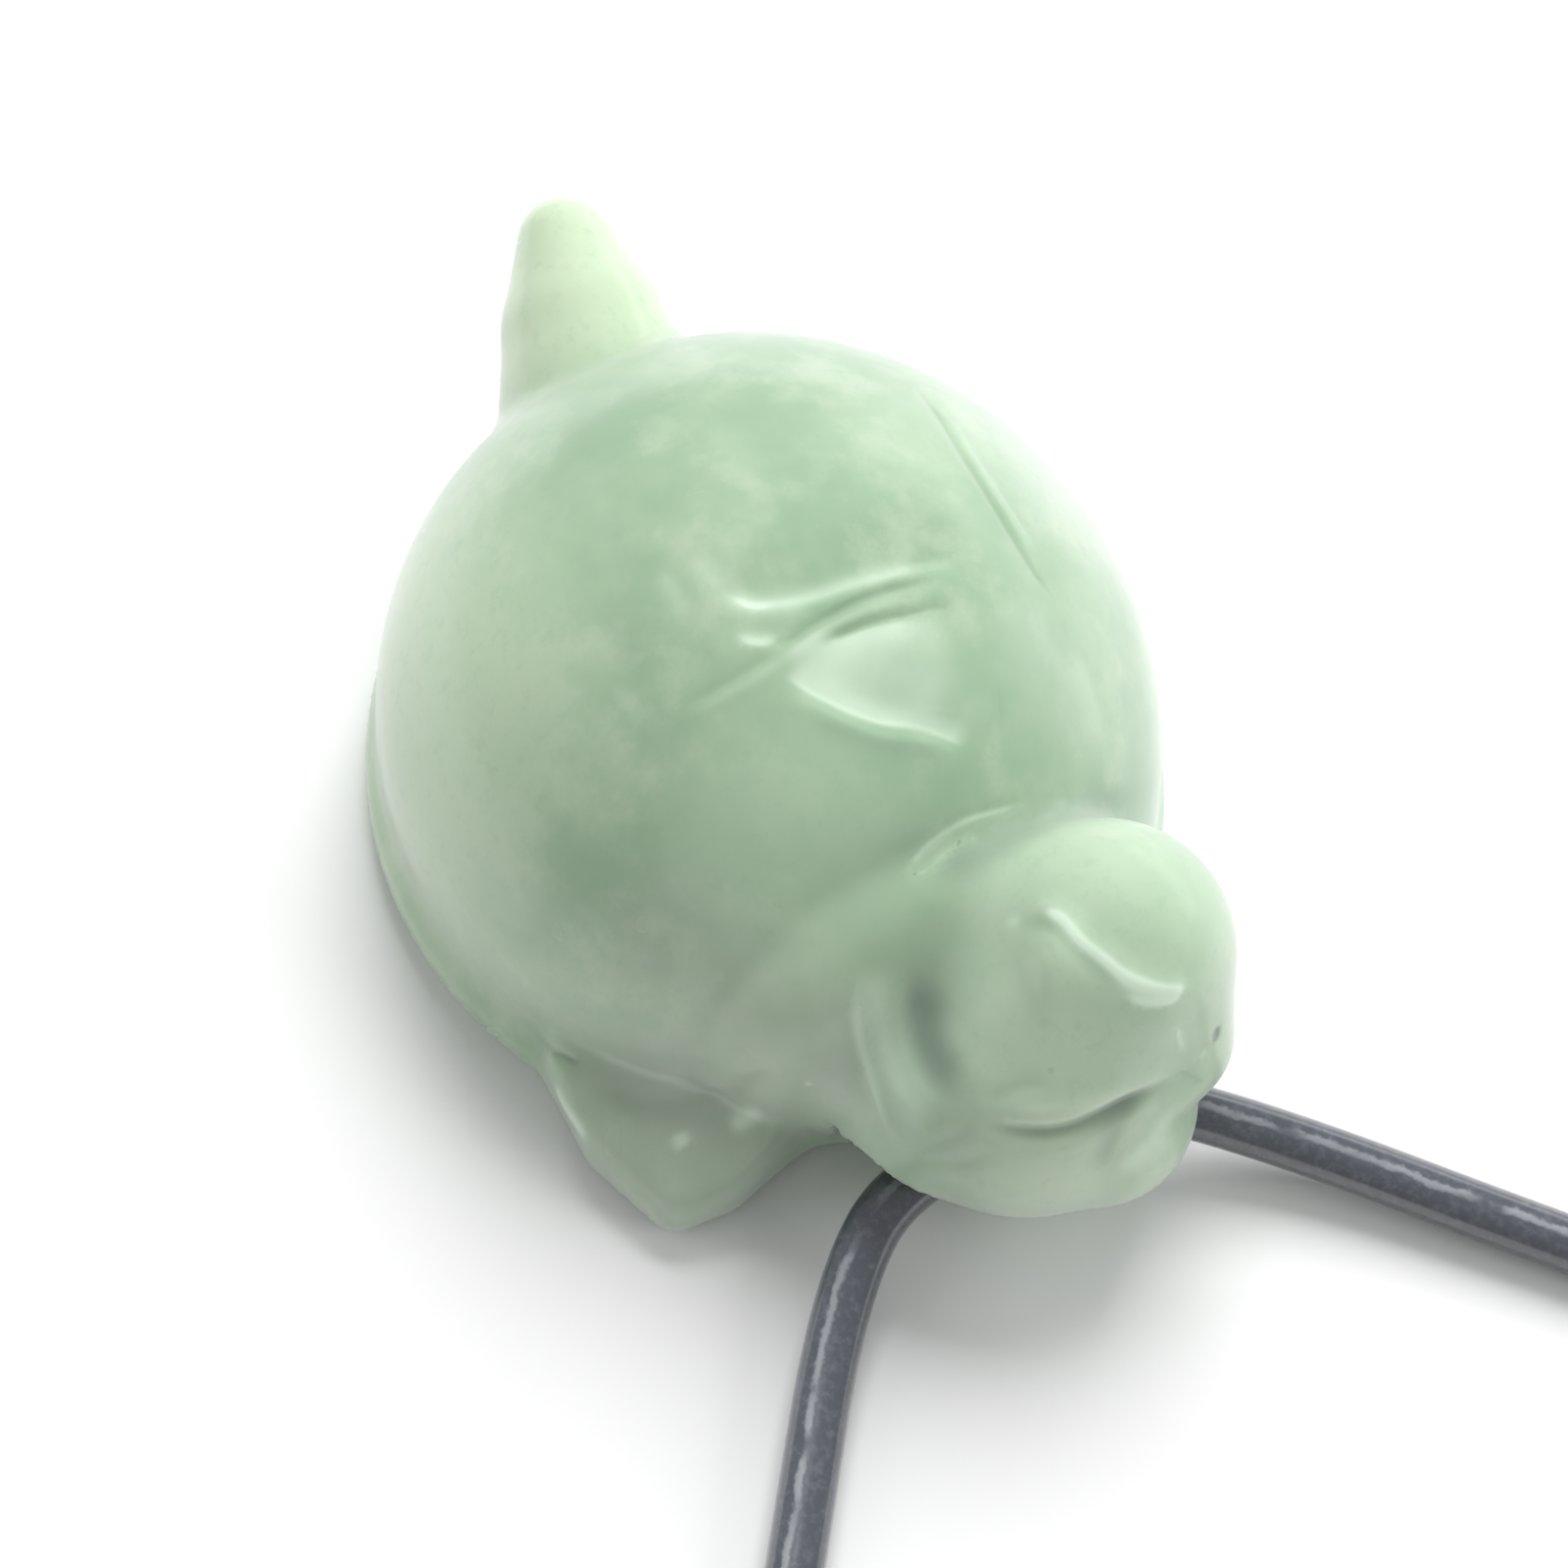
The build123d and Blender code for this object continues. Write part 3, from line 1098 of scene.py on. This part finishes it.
@dataclass
class Cord:
    """The round leather cord, from one end in the clasp through the head and back."""

    diameter: float = 2.0
    order: int = 3
    steps: int = 16
    roundness: int = 8
    route: Tuple[Point, ...] = (
        (161.5, 2.2, 1.8), (161.5, -7.0, 1.8), (157.0, -23.5, 1.05), (143.0, -43.2, 1.05),
        (117.5, -56.5, 1.05), (89.5, -56.5, 1.05), (63.5, -41.0, 1.05), (41.0, -22.1, 1.05),
        (26.7, -12.1, 1.05), (19.0, -6.7, 1.4), (16.499, -2.982, 3.0), (17.214, 5.186, 3.0),
        (20.9, 10.1, 1.45), (28.1, 16.6, 1.05), (41.5, 28.8, 1.05), (63.0, 46.5, 1.05),
        (89.5, 62.0, 1.05), (118.0, 63.5, 1.05), (143.0, 50.8, 1.05), (157.0, 31.0, 1.05),
        (161.5, 15.0, 1.8), (161.5, 5.8, 1.8),
    )

    def made(self, finish: LeatherFinish) -> bpy.types.Object:
        """Lay the cord along its route, dress it and fix it to the frame.

        Args:
            finish: The leather's finish.

        Returns:
            The cord's object.
        """
        curve = bpy.data.curves.new("leather_cord", "CURVE")
        curve.dimensions = "3D"
        spline = curve.splines.new("NURBS")
        spline.points.add(len(self.route) - 1)
        for point, (x, y, z) in zip(spline.points, self.route):
            point.co = (x * MM, y * MM, z * MM, 1.0)
        spline.order_u = self.order
        spline.use_endpoint_u = True
        spline.resolution_u = self.steps
        curve.bevel_depth = self.diameter / 2 * MM
        curve.bevel_resolution = self.roundness
        curve.use_fill_caps = True
        curve.materials.append(finish.made())
        cord = kept("leather_cord", curve)
        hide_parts("cord")
        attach(cord, "root")
        return cord


@dataclass
class Clasp:
    """The plain barrel over both ends of the cord, which is the CAD model's own solid."""

    node: str = "clasp"

    def dressed(self, finish: SteelFinish) -> bpy.types.Object:
        """Give the CAD solid its finish.

        Args:
            finish: The steel's finish.

        Returns:
            The clasp's object.
        """
        barrel = bpy.data.objects[self.node]
        material = finish.made()
        for slot in barrel.material_slots:
            slot.material = material
        return barrel


@dataclass(frozen=True)
class Lamp:
    """One soft lamp, whose brightness is in multiples of a plain white sheet's."""

    name: str
    place: Point
    width: float
    height: float
    brightness: float
    mirrored: bool = True
    only: str = ""

    def hung(self, target: Point) -> bpy.types.Object:
        """Hang the lamp and aim it at a point.

        Args:
            target: The point it is aimed at, in millimetres.

        Returns:
            The lamp, which lights one piece alone if it names one.
        """
        data = bpy.data.lights.new(self.name, "AREA")
        data.shape = "RECTANGLE"
        data.size, data.size_y = self.width * MM, self.height * MM
        data.energy = self.brightness * math.pi * data.size * data.size_y
        light = kept(self.name, data)
        light.location = Vector(self.place) * MM
        aim = Vector(target) * MM - light.location
        light.rotation_euler = aim.to_track_quat("-Z", "Y").to_euler()
        light.visible_glossy = self.mirrored
        if self.only:
            lit = bpy.data.collections.new(self.name + "_receivers")
            lit.objects.link(bpy.data.objects[self.only])
            light.light_linking.receiver_collection = lit
        return light


@dataclass
class Studio:
    """The surface, the lamps, the pale room and the camera."""

    target: Point = (1.8, -0.4, 4.5)
    camera_bearing: float = -26.0
    camera_lift: float = 61.0
    camera_distance: float = 125.0
    camera_range: Tuple[float, float] = (5.0, 10000.0)
    focal_pixels: float = 3537.5
    frame_pixels: float = 1600.0
    sensor: float = 36.0
    floor_size: float = 3000.0
    floor_squares: int = 8
    room: Colour = (1.0, 1.0, 1.0)
    room_strength: float = 0.35
    lamps: Tuple[Lamp, ...] = (
        Lamp("key_lamp", (-455.0, 345.0, 690.0), 540.0, 540.0, 8.7, mirrored=False),
        Lamp("right_lamp", (510.0, 551.0, 399.0), 400.0, 400.0, 3.8, mirrored=False),
        Lamp("left_lamp", (-290.0, -590.0, 460.0), 500.0, 500.0, 0.8, mirrored=False),
        Lamp("window_lamp", (-315.0, 914.0, 260.0), 1100.0, 300.0, 1.2),
        Lamp("left_cord_lamp", (-577.0, -66.0, 687.0), 190.0, 190.0, 30.0, only="leather_cord"),
        Lamp("right_cord_lamp", (-389.0, 186.0, 789.0), 190.0, 190.0, 30.0, only="leather_cord"),
    )

    def floor(self, finish: PaperFinish) -> bpy.types.Object:
        """Lay the surface.

        Args:
            finish: The surface's finish.

        Returns:
            The surface's object.
        """
        mesh = bpy.data.meshes.new("white_surface")
        count, half = self.floor_squares, self.floor_size / 2 * MM
        with edited(mesh) as bm:
            bmesh.ops.create_grid(bm, x_segments=count, y_segments=count, size=half)
        mesh.materials.append(finish.made())
        floor = kept("white_surface", mesh)
        return floor

    def lit(self) -> None:
        """Set the lamps and the room's own light."""
        for lamp in self.lamps:
            lamp.hung(self.target)
        world = bpy.data.worlds.new("pale_room")
        bpy.context.scene.world = world
        world.use_nodes = True
        back = world.node_tree.nodes["Background"]
        back.inputs["Color"].default_value = (*self.room, 1.0)
        back.inputs["Strength"].default_value = self.room_strength

    def shot(self) -> bpy.types.Object:
        """Set the camera where the photograph was taken from.

        Returns:
            The camera.
        """
        data = bpy.data.cameras.new("camera")
        data.sensor_width = self.sensor
        data.lens = self.focal_pixels / self.frame_pixels * self.sensor
        data.clip_start, data.clip_end = (distance * MM for distance in self.camera_range)
        camera = kept("camera", data)
        away = Vector(facing(self.camera_bearing, self.camera_lift))
        camera.location = (Vector(self.target) + away * self.camera_distance) * MM
        camera.rotation_euler = (-away).to_track_quat("-Z", "Y").to_euler()
        scene = bpy.context.scene
        scene.camera = camera
        scene.view_settings.view_transform = "Standard"
        return camera


def carver_strokes() -> Dict[str, Stroke]:
    """List the carver's strokes.

    Returns:
        Each stroke by its name, with its line, its two widths, its depth, shade and fade.
    """
    return {
        "upper_valley": Stroke(
            ((-0.2, -2.1, 16.5), (0.5, -1.6, 16.5), (1.1, -0.8, 16.5), (1.5, 0.7, 16.5),
             (1.6, 2.3, 16.4), (1.6, 3.9, 16.1), (1.7, 5.5, 15.6), (1.9, 6.6, 15.1)),
            1.50, 0.42, depth=0.30, fade=0.20),
        # Painted highlights on the walls of the upper valleys, where light catches them.
        "upper_light": Stroke(
            ((-0.0, -2.0, 16.5), (0.7, -1.6, 16.5), (1.3, -0.9, 16.5), (1.7, 0.6, 16.5),
             (1.8, 2.2, 16.4), (1.9, 3.8, 16.1), (1.9, 5.2, 15.6)),
            0.50, 0.28, shade=-0.55, fade=0.20),
        "upper_spot": Stroke(
            ((0.5, -1.8, 16.5), (1.2, -1.3, 16.5), (1.5, -0.5, 16.5)),
            0.20, 0.18, shade=-0.40, fade=0.40),
        "spur_light": Stroke(
            ((-1.6, -2.2, 16.5), (-0.6, -2.0, 16.5), (0.5, -1.7, 16.5)),
            0.50, 0.50, depth=0.05, shade=-0.35, fade=0.30),
        "lower_valley": Stroke(
            ((1.6, -2.2, 16.3), (2.2, -1.6, 16.3), (2.4, -0.6, 16.4), (2.3, 0.6, 16.4),
             (2.1, 2.3, 16.3)),
            0.50, 0.35, depth=0.16, fade=0.30),
        "lower_light": Stroke(
            ((1.5, -2.3, 16.3), (2.2, -2.0, 16.2), (2.6, -1.4, 16.2), (2.7, -0.7, 16.3)),
            0.40, 0.18, shade=-0.60, fade=0.40),
        "between_light": Stroke(
            ((1.2, -1.9, 16.4), (1.9, -1.3, 16.4), (2.1, -0.4, 16.4), (2.1, 0.9, 16.4)),
            0.50, 0.50, shade=-0.25, fade=0.30),
        # Painted shade in the cross line's groove.
        "cross_line": Stroke(
            ((2.8, -1.7, 16.2), (2.8, -0.7, 16.3), (2.6, 0.4, 16.3), (2.4, 2.2, 16.3),
             (2.4, 3.9, 15.9), (2.5, 5.4, 15.5)),
            0.20, 0.30, depth=0.14, shade=0.50),
        # Painted highlight along the strip.
        "strip_light": Stroke(
            ((3.5, -5.8, 14.8), (3.5, -3.7, 15.6), (3.5, -2.1, 15.9), (3.3, -1.1, 16.1),
             (3.0, 0.7, 16.2), (2.9, 2.6, 16.1), (2.9, 4.3, 15.7)),
            0.28, 0.30, depth=-0.05, shade=-0.30, fade=0.20),
        "cross_shade": Stroke(
            ((3.2, -5.0, 15.2), (3.2, -3.5, 15.7), (3.1, -2.0, 16.1), (3.0, -1.0, 16.2)),
            0.30, 0.25, depth=0.05, shade=0.25, fade=0.30),
        # Painted shade in the scoop's edge line.
        "scoop_line": Stroke(
            ((3.4, -0.4, 16.1), (3.3, 0.5, 16.2), (3.3, 1.1, 16.2), (3.3, 2.1, 16.1),
             (3.4, 3.4, 15.8), (3.5, 4.6, 15.5), (4.0, 5.2, 15.2)),
            0.24, 0.20, depth=0.14, shade=0.50, fade=0.35),
        "scoop_bowl": Stroke(
            ((3.5, -0.7, 16.1), (3.9, 0.4, 16.0), (4.1, 1.5, 15.9), (4.5, 2.8, 15.6),
             (5.3, 4.0, 15.0)),
            1.20, 2.20, depth=0.15, fade=0.50),
        "scoop": Stroke(
            ((3.5, -1.4, 16.0), (4.4, -0.8, 15.8), (5.0, -0.3, 15.6), (5.6, 0.3, 15.4),
             (6.2, 1.0, 15.2), (6.6, 1.9, 14.9), (7.2, 2.9, 14.4), (7.8, 3.7, 13.8)),
            1.40, 0.48, depth=0.26, fade=0.18),
        # Painted light over the scoop's facet, turned up to the light, and painted highlights along
        # its bright edge.
        "scoop_pale": Stroke(
            ((3.5, -1.4, 16.0), (4.2, -0.1, 15.9), (4.8, 1.0, 15.7), (5.3, 2.2, 15.4),
             (6.0, 3.1, 15.0), (6.9, 3.8, 14.4)),
            1.00, 1.00, shade=-0.42),
        "scoop_upper": Stroke(
            ((3.6, -1.3, 16.0), (3.6, -0.2, 16.1), (3.7, 0.8, 16.1), (3.9, 1.8, 16.0),
             (4.0, 2.8, 15.8), (4.5, 4.1, 15.3), (5.2, 4.8, 14.8)),
            0.75, 0.90, shade=-0.40),
        "scoop_gleam": Stroke(
            ((3.7, -0.2, 16.1), (3.6, 0.9, 16.1), (3.6, 1.9, 16.0), (3.8, 3.2, 15.8),
             (4.0, 4.6, 15.4)),
            0.28, 0.50, shade=-0.38, fade=0.40),
        "scoop_right": Stroke(
            ((4.2, 3.9, 15.5), (5.5, 4.1, 14.9), (6.8, 4.1, 14.4), (7.4, 3.7, 14.1)),
            1.00, 1.20, shade=-0.20, fade=0.40),
        "scoop_light": Stroke(
            ((3.5, -1.6, 16.0), (4.5, -0.8, 15.8), (5.1, -0.3, 15.6), (5.7, 0.2, 15.4),
             (6.3, 1.0, 15.1), (6.8, 2.0, 14.8), (7.4, 2.9, 14.3), (8.0, 3.5, 13.8)),
            0.85, 0.20, shade=-0.55, fade=0.12),
        "scoop_end": Stroke(
            ((3.4, -1.6, 16.0), (4.5, -0.8, 15.8), (5.1, -0.3, 15.6), (5.7, 0.3, 15.4),
             (6.4, 1.1, 15.1), (7.0, 2.3, 14.6)),
            0.50, 0.18, shade=-0.30, fade=0.20),
        # Painted shade below the scoop's bright edge and in the line beside it.
        "scoop_foot": Stroke(
            ((4.3, -1.6, 15.8), (5.7, -0.6, 15.3), (6.9, 0.7, 14.8), (7.5, 2.0, 14.4),
             (8.2, 3.1, 13.7)),
            0.25, 0.50, depth=-0.03, shade=0.42),
        "scoop_side": Stroke(
            ((6.1, 5.4, 14.2), (7.0, 5.1, 13.9), (8.0, 4.5, 13.5)),
            0.18, 0.18, depth=0.04, shade=0.20, fade=0.40),
        "left_streak": Stroke(
            ((-1.8, -3.3, 16.3), (-0.6, -3.3, 16.3), (0.9, -3.5, 16.1)),
            0.45, 0.45, depth=0.04, shade=-0.35, fade=0.35),
        "left_pale": Stroke(
            ((0.6, -6.3, 15.1), (2.0, -6.2, 15.0), (3.1, -6.0, 14.8)),
            0.50, 0.50, depth=0.03, shade=-0.25, fade=0.35),
        "left_dark": Stroke(
            ((-1.8, -5.6, 15.5), (0.1, -5.5, 15.5), (2.2, -5.6, 15.2)),
            0.80, 0.80, depth=0.04, shade=0.20, fade=0.35),
        # Painted shade in the side groove, and a painted highlight on the ridge beside it.
        "side_line": Stroke(
            ((-7.1, 8.8, 12.8), (-5.3, 8.7, 13.5), (-2.1, 8.5, 14.3), (0.9, 8.5, 14.2),
             (2.9, 8.7, 13.6), (4.1, 9.3, 12.8)),
            0.22, 0.18, depth=0.06, shade=0.35),
        "side_light": Stroke(
            ((-5.5, 9.2, 13.1), (-2.2, 8.9, 14.0), (0.7, 9.0, 13.9), (2.8, 9.2, 13.3)),
            0.20, 0.30, depth=-0.04, shade=-0.30, fade=0.30),
        "side_facet": Stroke(
            ((4.7, 8.4, 13.2), (6.3, 9.0, 11.9), (7.7, 8.8, 11.0), (9.1, 8.4, 10.1)),
            0.60, 0.60, depth=0.05, shade=-0.20, fade=0.30),
        "brow": Stroke(
            ((13.7, 2.7, 13.1), (14.2, 3.0, 13.4), (14.8, 3.3, 13.6), (15.8, 3.5, 13.6),
             (16.6, 3.9, 13.4), (17.3, 4.3, 13.1), (17.8, 4.9, 12.8), (18.1, 5.6, 12.5),
             (18.1, 6.3, 12.3)),
            0.40, 0.45, depth=-0.16, fade=0.12),
        # Painted highlights along the brow ridge, its branch and its pale underside.
        "brow_light": Stroke(
            ((14.1, 2.9, 13.4), (14.8, 3.3, 13.6), (15.8, 3.5, 13.6), (16.6, 3.9, 13.4),
             (17.3, 4.3, 13.1), (17.8, 4.9, 12.8), (18.1, 5.5, 12.5), (18.1, 6.2, 12.3)),
            0.20, 0.20, shade=-1.05, fade=0.12),
        "brow_gleam": Stroke(
            ((16.9, 3.9, 13.3), (17.6, 4.5, 12.9), (18.1, 5.2, 12.6), (18.2, 6.1, 12.3)),
            0.40, 0.42, shade=-0.45, fade=0.30),
        "brow_under": Stroke(
            ((15.3, 3.1, 13.5), (16.5, 3.3, 13.3), (17.5, 3.9, 12.8), (18.3, 4.6, 12.3)),
            0.80, 0.80, shade=-0.25, fade=0.40),
        "brow_branch": Stroke(
            ((17.6, 4.0, 12.8), (18.1, 4.6, 12.5), (18.3, 5.3, 12.3), (18.3, 6.0, 12.2)),
            0.20, 0.20, shade=-0.90, fade=0.30),
        "brow_start": Stroke(
            ((13.5, 1.7, 12.3), (13.8, 2.1, 12.7), (13.9, 2.4, 13.0)),
            0.28, 0.28, shade=-0.45, fade=0.40),
        # Painted shade in the hollow beside the brow.
        "brow_hollow": Stroke(
            ((14.2, 3.8, 13.8), (15.7, 4.4, 13.9), (16.9, 5.1, 13.5), (17.6, 6.2, 12.8)),
            0.90, 0.90, depth=0.10, shade=0.10, fade=0.30),
        "eye": Stroke(
            ((15.1, 1.6, 12.4), (16.0, 2.4, 12.9), (16.8, 3.2, 13.0)),
            1.30, 1.30, depth=-0.34, shade=-0.12, fade=0.50),
        "eye_rim": Stroke(
            ((14.1, 1.5, 12.2), (14.3, 2.2, 12.9), (15.0, 2.9, 13.4), (16.0, 3.2, 13.4),
             (16.8, 3.4, 13.1), (17.4, 3.5, 12.8)),
            0.30, 0.30, depth=0.05, shade=-0.20, fade=0.30),
        "crescent": Stroke(
            ((12.9, -0.5, 11.6), (13.8, -1.2, 10.6), (14.7, -1.6, 9.9), (15.6, -1.8, 9.6),
             (16.6, -1.8, 9.5), (17.6, -1.5, 9.2)),
            0.80, 0.80, depth=0.15, fade=0.35),
        # Painted shade in the crescent's groove.
        "crescent_dark": Stroke(
            ((12.8, -0.4, 11.7), (13.6, -1.1, 10.9), (14.3, -1.4, 10.2), (15.1, -1.7, 9.7),
             (16.1, -1.8, 9.5), (17.0, -1.7, 9.4), (17.9, -1.4, 9.1)),
            1.00, 0.85, shade=0.85, fade=0.35),
        "lobe": Stroke(
            ((12.6, -2.5, 11.4), (13.6, -2.8, 10.2), (14.9, -3.0, 9.0), (16.5, -3.0, 8.5),
             (17.7, -2.4, 8.2)),
            0.90, 0.55, depth=-0.18, shade=-0.42, fade=0.20),
        # Painted highlight on the lobe's thin ridge.
        "lobe_ridge": Stroke(
            ((12.4, -2.9, 11.4), (13.1, -3.3, 10.6), (13.9, -3.5, 9.3), (15.1, -3.6, 8.4),
             (16.3, -3.7, 7.8), (17.1, -3.8, 7.0)),
            0.22, 0.24, depth=-0.08, shade=-0.40, fade=0.35),
        # Painted shade in the lines at the lobe's tip and in the fold above the mouth.
        "lobe_tip": Stroke(
            ((17.5, -3.5, 6.9), (18.0, -2.6, 7.6), (18.2, -1.8, 8.5), (18.0, -1.1, 9.3)),
            0.30, 0.35, depth=0.05, shade=0.30, fade=0.35),
        "fold": Stroke(
            ((17.9, -1.1, 9.4), (18.0, -0.5, 9.8), (18.2, 0.5, 10.2), (18.6, 1.3, 10.3)),
            0.35, 0.30, depth=0.08, shade=0.20, fade=0.35),
        "mouth_pale": Stroke(
            ((18.2, -0.9, 9.3), (19.1, 0.8, 9.6), (19.5, 2.7, 9.7), (19.5, 4.2, 9.7)),
            0.40, 0.30, depth=-0.05, shade=-0.30, fade=0.30),
        # Painted shade in the mouth's groove and over the lower lip's facet, turned from the light.
        "mouth": Stroke(
            ((18.1, -1.5, 8.9), (18.7, -0.8, 9.0), (19.5, 0.3, 9.0), (19.8, 1.2, 9.0),
             (19.8, 2.1, 9.0), (19.8, 3.3, 9.1), (19.7, 4.6, 9.0), (19.6, 5.5, 9.0)),
            0.28, 0.42, depth=0.26, shade=0.60, fade=0.30),
        "lip": Stroke(
            ((20.9, 1.7, 6.5), (20.7, 2.2, 7.5), (20.3, 2.7, 8.2), (20.0, 3.5, 8.8),
             (19.8, 4.6, 8.9)),
            0.75, 0.40, depth=0.07, shade=0.50, fade=0.30),
        # Painted highlight on the chin.
        "chin_light": Stroke(
            ((21.0, 2.4, 6.3), (20.9, 3.2, 6.9), (20.5, 4.3, 7.2), (20.1, 5.4, 7.7)),
            0.45, 0.90, depth=-0.04, shade=-0.50, fade=0.30),
        "nostril": Stroke(
            ((18.9, 7.2, 9.9), (19.3, 7.0, 9.1)),
            0.26, 0.26, depth=0.05, shade=1.20, fade=0.40),
        # Painted highlights on the chipped facets of the beak, and painted shade in the line below
        # them.
        "nose_chip": Stroke(
            ((18.8, 5.6, 11.5), (19.1, 5.6, 10.5), (19.5, 5.9, 9.4)),
            0.22, 0.22, depth=0.10, shade=-0.65, fade=0.40),
        "nose_chip_foot": Stroke(
            ((19.4, 6.2, 9.4), (19.4, 6.7, 9.0)),
            0.24, 0.20, depth=0.08, shade=-0.60, fade=0.40),
        "nose_line": Stroke(
            ((19.5, 5.1, 9.5), (19.7, 5.8, 8.7), (19.9, 6.7, 7.5)),
            0.16, 0.16, depth=0.05, shade=0.30, fade=0.35),
        # Painted highlights along the hood's lines, and painted shade in the band under them and
        # along the neck's edge.
        "hood_line": Stroke(
            ((9.7, 5.1, 11.9), (9.8, 3.7, 12.4), (9.8, 2.5, 12.7), (9.9, 1.4, 12.7),
             (10.2, 0.5, 12.7), (10.7, -0.4, 12.6)),
            0.17, 0.17, depth=0.05, shade=-0.75, fade=0.20),
        "hood_second": Stroke(
            ((10.3, 2.9, 12.3), (10.3, 1.7, 12.5), (10.7, 0.6, 12.6), (11.0, -0.4, 12.5)),
            0.15, 0.15, depth=0.03, shade=-0.60),
        "hood_band": Stroke(
            ((8.9, 10.8, 5.9), (9.9, 8.0, 9.5), (10.5, 5.9, 11.5), (10.7, 4.1, 12.1),
             (10.9, 2.7, 12.3), (11.1, 1.4, 12.5), (11.6, 0.0, 12.4)),
            0.90, 0.80, depth=0.10, shade=0.55, fade=0.20),
        "neck_edge": Stroke(
            ((9.8, 3.0, 12.6), (10.1, 0.9, 12.7), (10.5, -0.9, 12.5), (10.9, -2.8, 12.1),
             (11.0, -4.7, 11.1), (10.7, -6.6, 9.5)),
            0.90, 0.90, depth=0.06, shade=0.30),
        "crease": Stroke(
            ((9.0, -11.9, 3.4), (9.9, -10.8, 3.7), (10.7, -10.0, 3.8), (11.3, -9.0, 4.0),
             (11.9, -7.8, 4.8), (12.8, -6.9, 6.8), (13.2, -6.0, 7.7)),
            0.35, 0.75, depth=0.18, fade=0.20),
        # Painted shade in the flipper's crease.
        "crease_dark": Stroke(
            ((9.0, -11.9, 3.4), (10.0, -10.9, 3.7), (10.8, -10.1, 3.7), (11.4, -9.1, 3.9),
             (11.9, -7.8, 4.6), (12.8, -6.9, 6.6), (13.2, -6.0, 7.7)),
            0.35, 0.50, shade=0.12, fade=0.20),
        "rim_pale": Stroke(
            ((8.1, -11.4, 4.1), (9.2, -10.4, 4.2), (10.4, -9.1, 4.5), (11.6, -7.8, 6.4)),
            0.60, 0.35, shade=-0.25, fade=0.30),
        "fleck_line": Stroke(
            ((6.1, -12.4, 2.6), (7.7, -12.0, 3.8), (8.6, -11.3, 3.9)),
            0.18, 0.18, depth=0.10, shade=0.45, fade=0.30),
        # Painted highlights on the flipper's ridge and on its facets.
        "flipper_ridge": Stroke(
            ((8.0, -12.3, 3.1), (8.8, -12.4, 2.6), (9.9, -12.3, 2.6), (10.8, -12.2, 2.5)),
            0.36, 0.36, depth=-0.10, shade=-0.65, fade=0.30),
        "flipper_spot": Stroke(
            ((11.9, -9.5, 3.6), (12.8, -9.5, 3.4)),
            0.40, 0.40, depth=0.06, shade=-0.75, fade=0.40),
        "flipper_gloss": Stroke(
            ((12.8, -8.2, 3.8), (12.9, -7.3, 4.2), (13.3, -6.6, 5.2)),
            0.44, 0.42, depth=0.06, shade=-0.75, fade=0.40),
        "neck_dot": Stroke(
            ((13.7, -5.5, 7.1), (14.0, -5.2, 7.2)),
            0.22, 0.22, shade=-0.60, fade=0.45),
    }


def main() -> None:
    """Build the pendant round the frame and report each piece."""
    logging.basicConfig(level=logging.INFO, format="%(name)s: %(message)s")
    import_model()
    studio = Studio()
    studio.shot()
    studio.floor(PaperFinish())
    pieces = [
        Cord().made(LeatherFinish()),
        Clasp().dressed(SteelFinish()),
        Turtle(strokes=carver_strokes()).made(StoneFinish()),
    ]
    studio.lit()
    for piece in pieces:
        LOG.info("%s is made as a %s", piece.name, piece.type.lower())


if __name__ == "__main__":
    main()
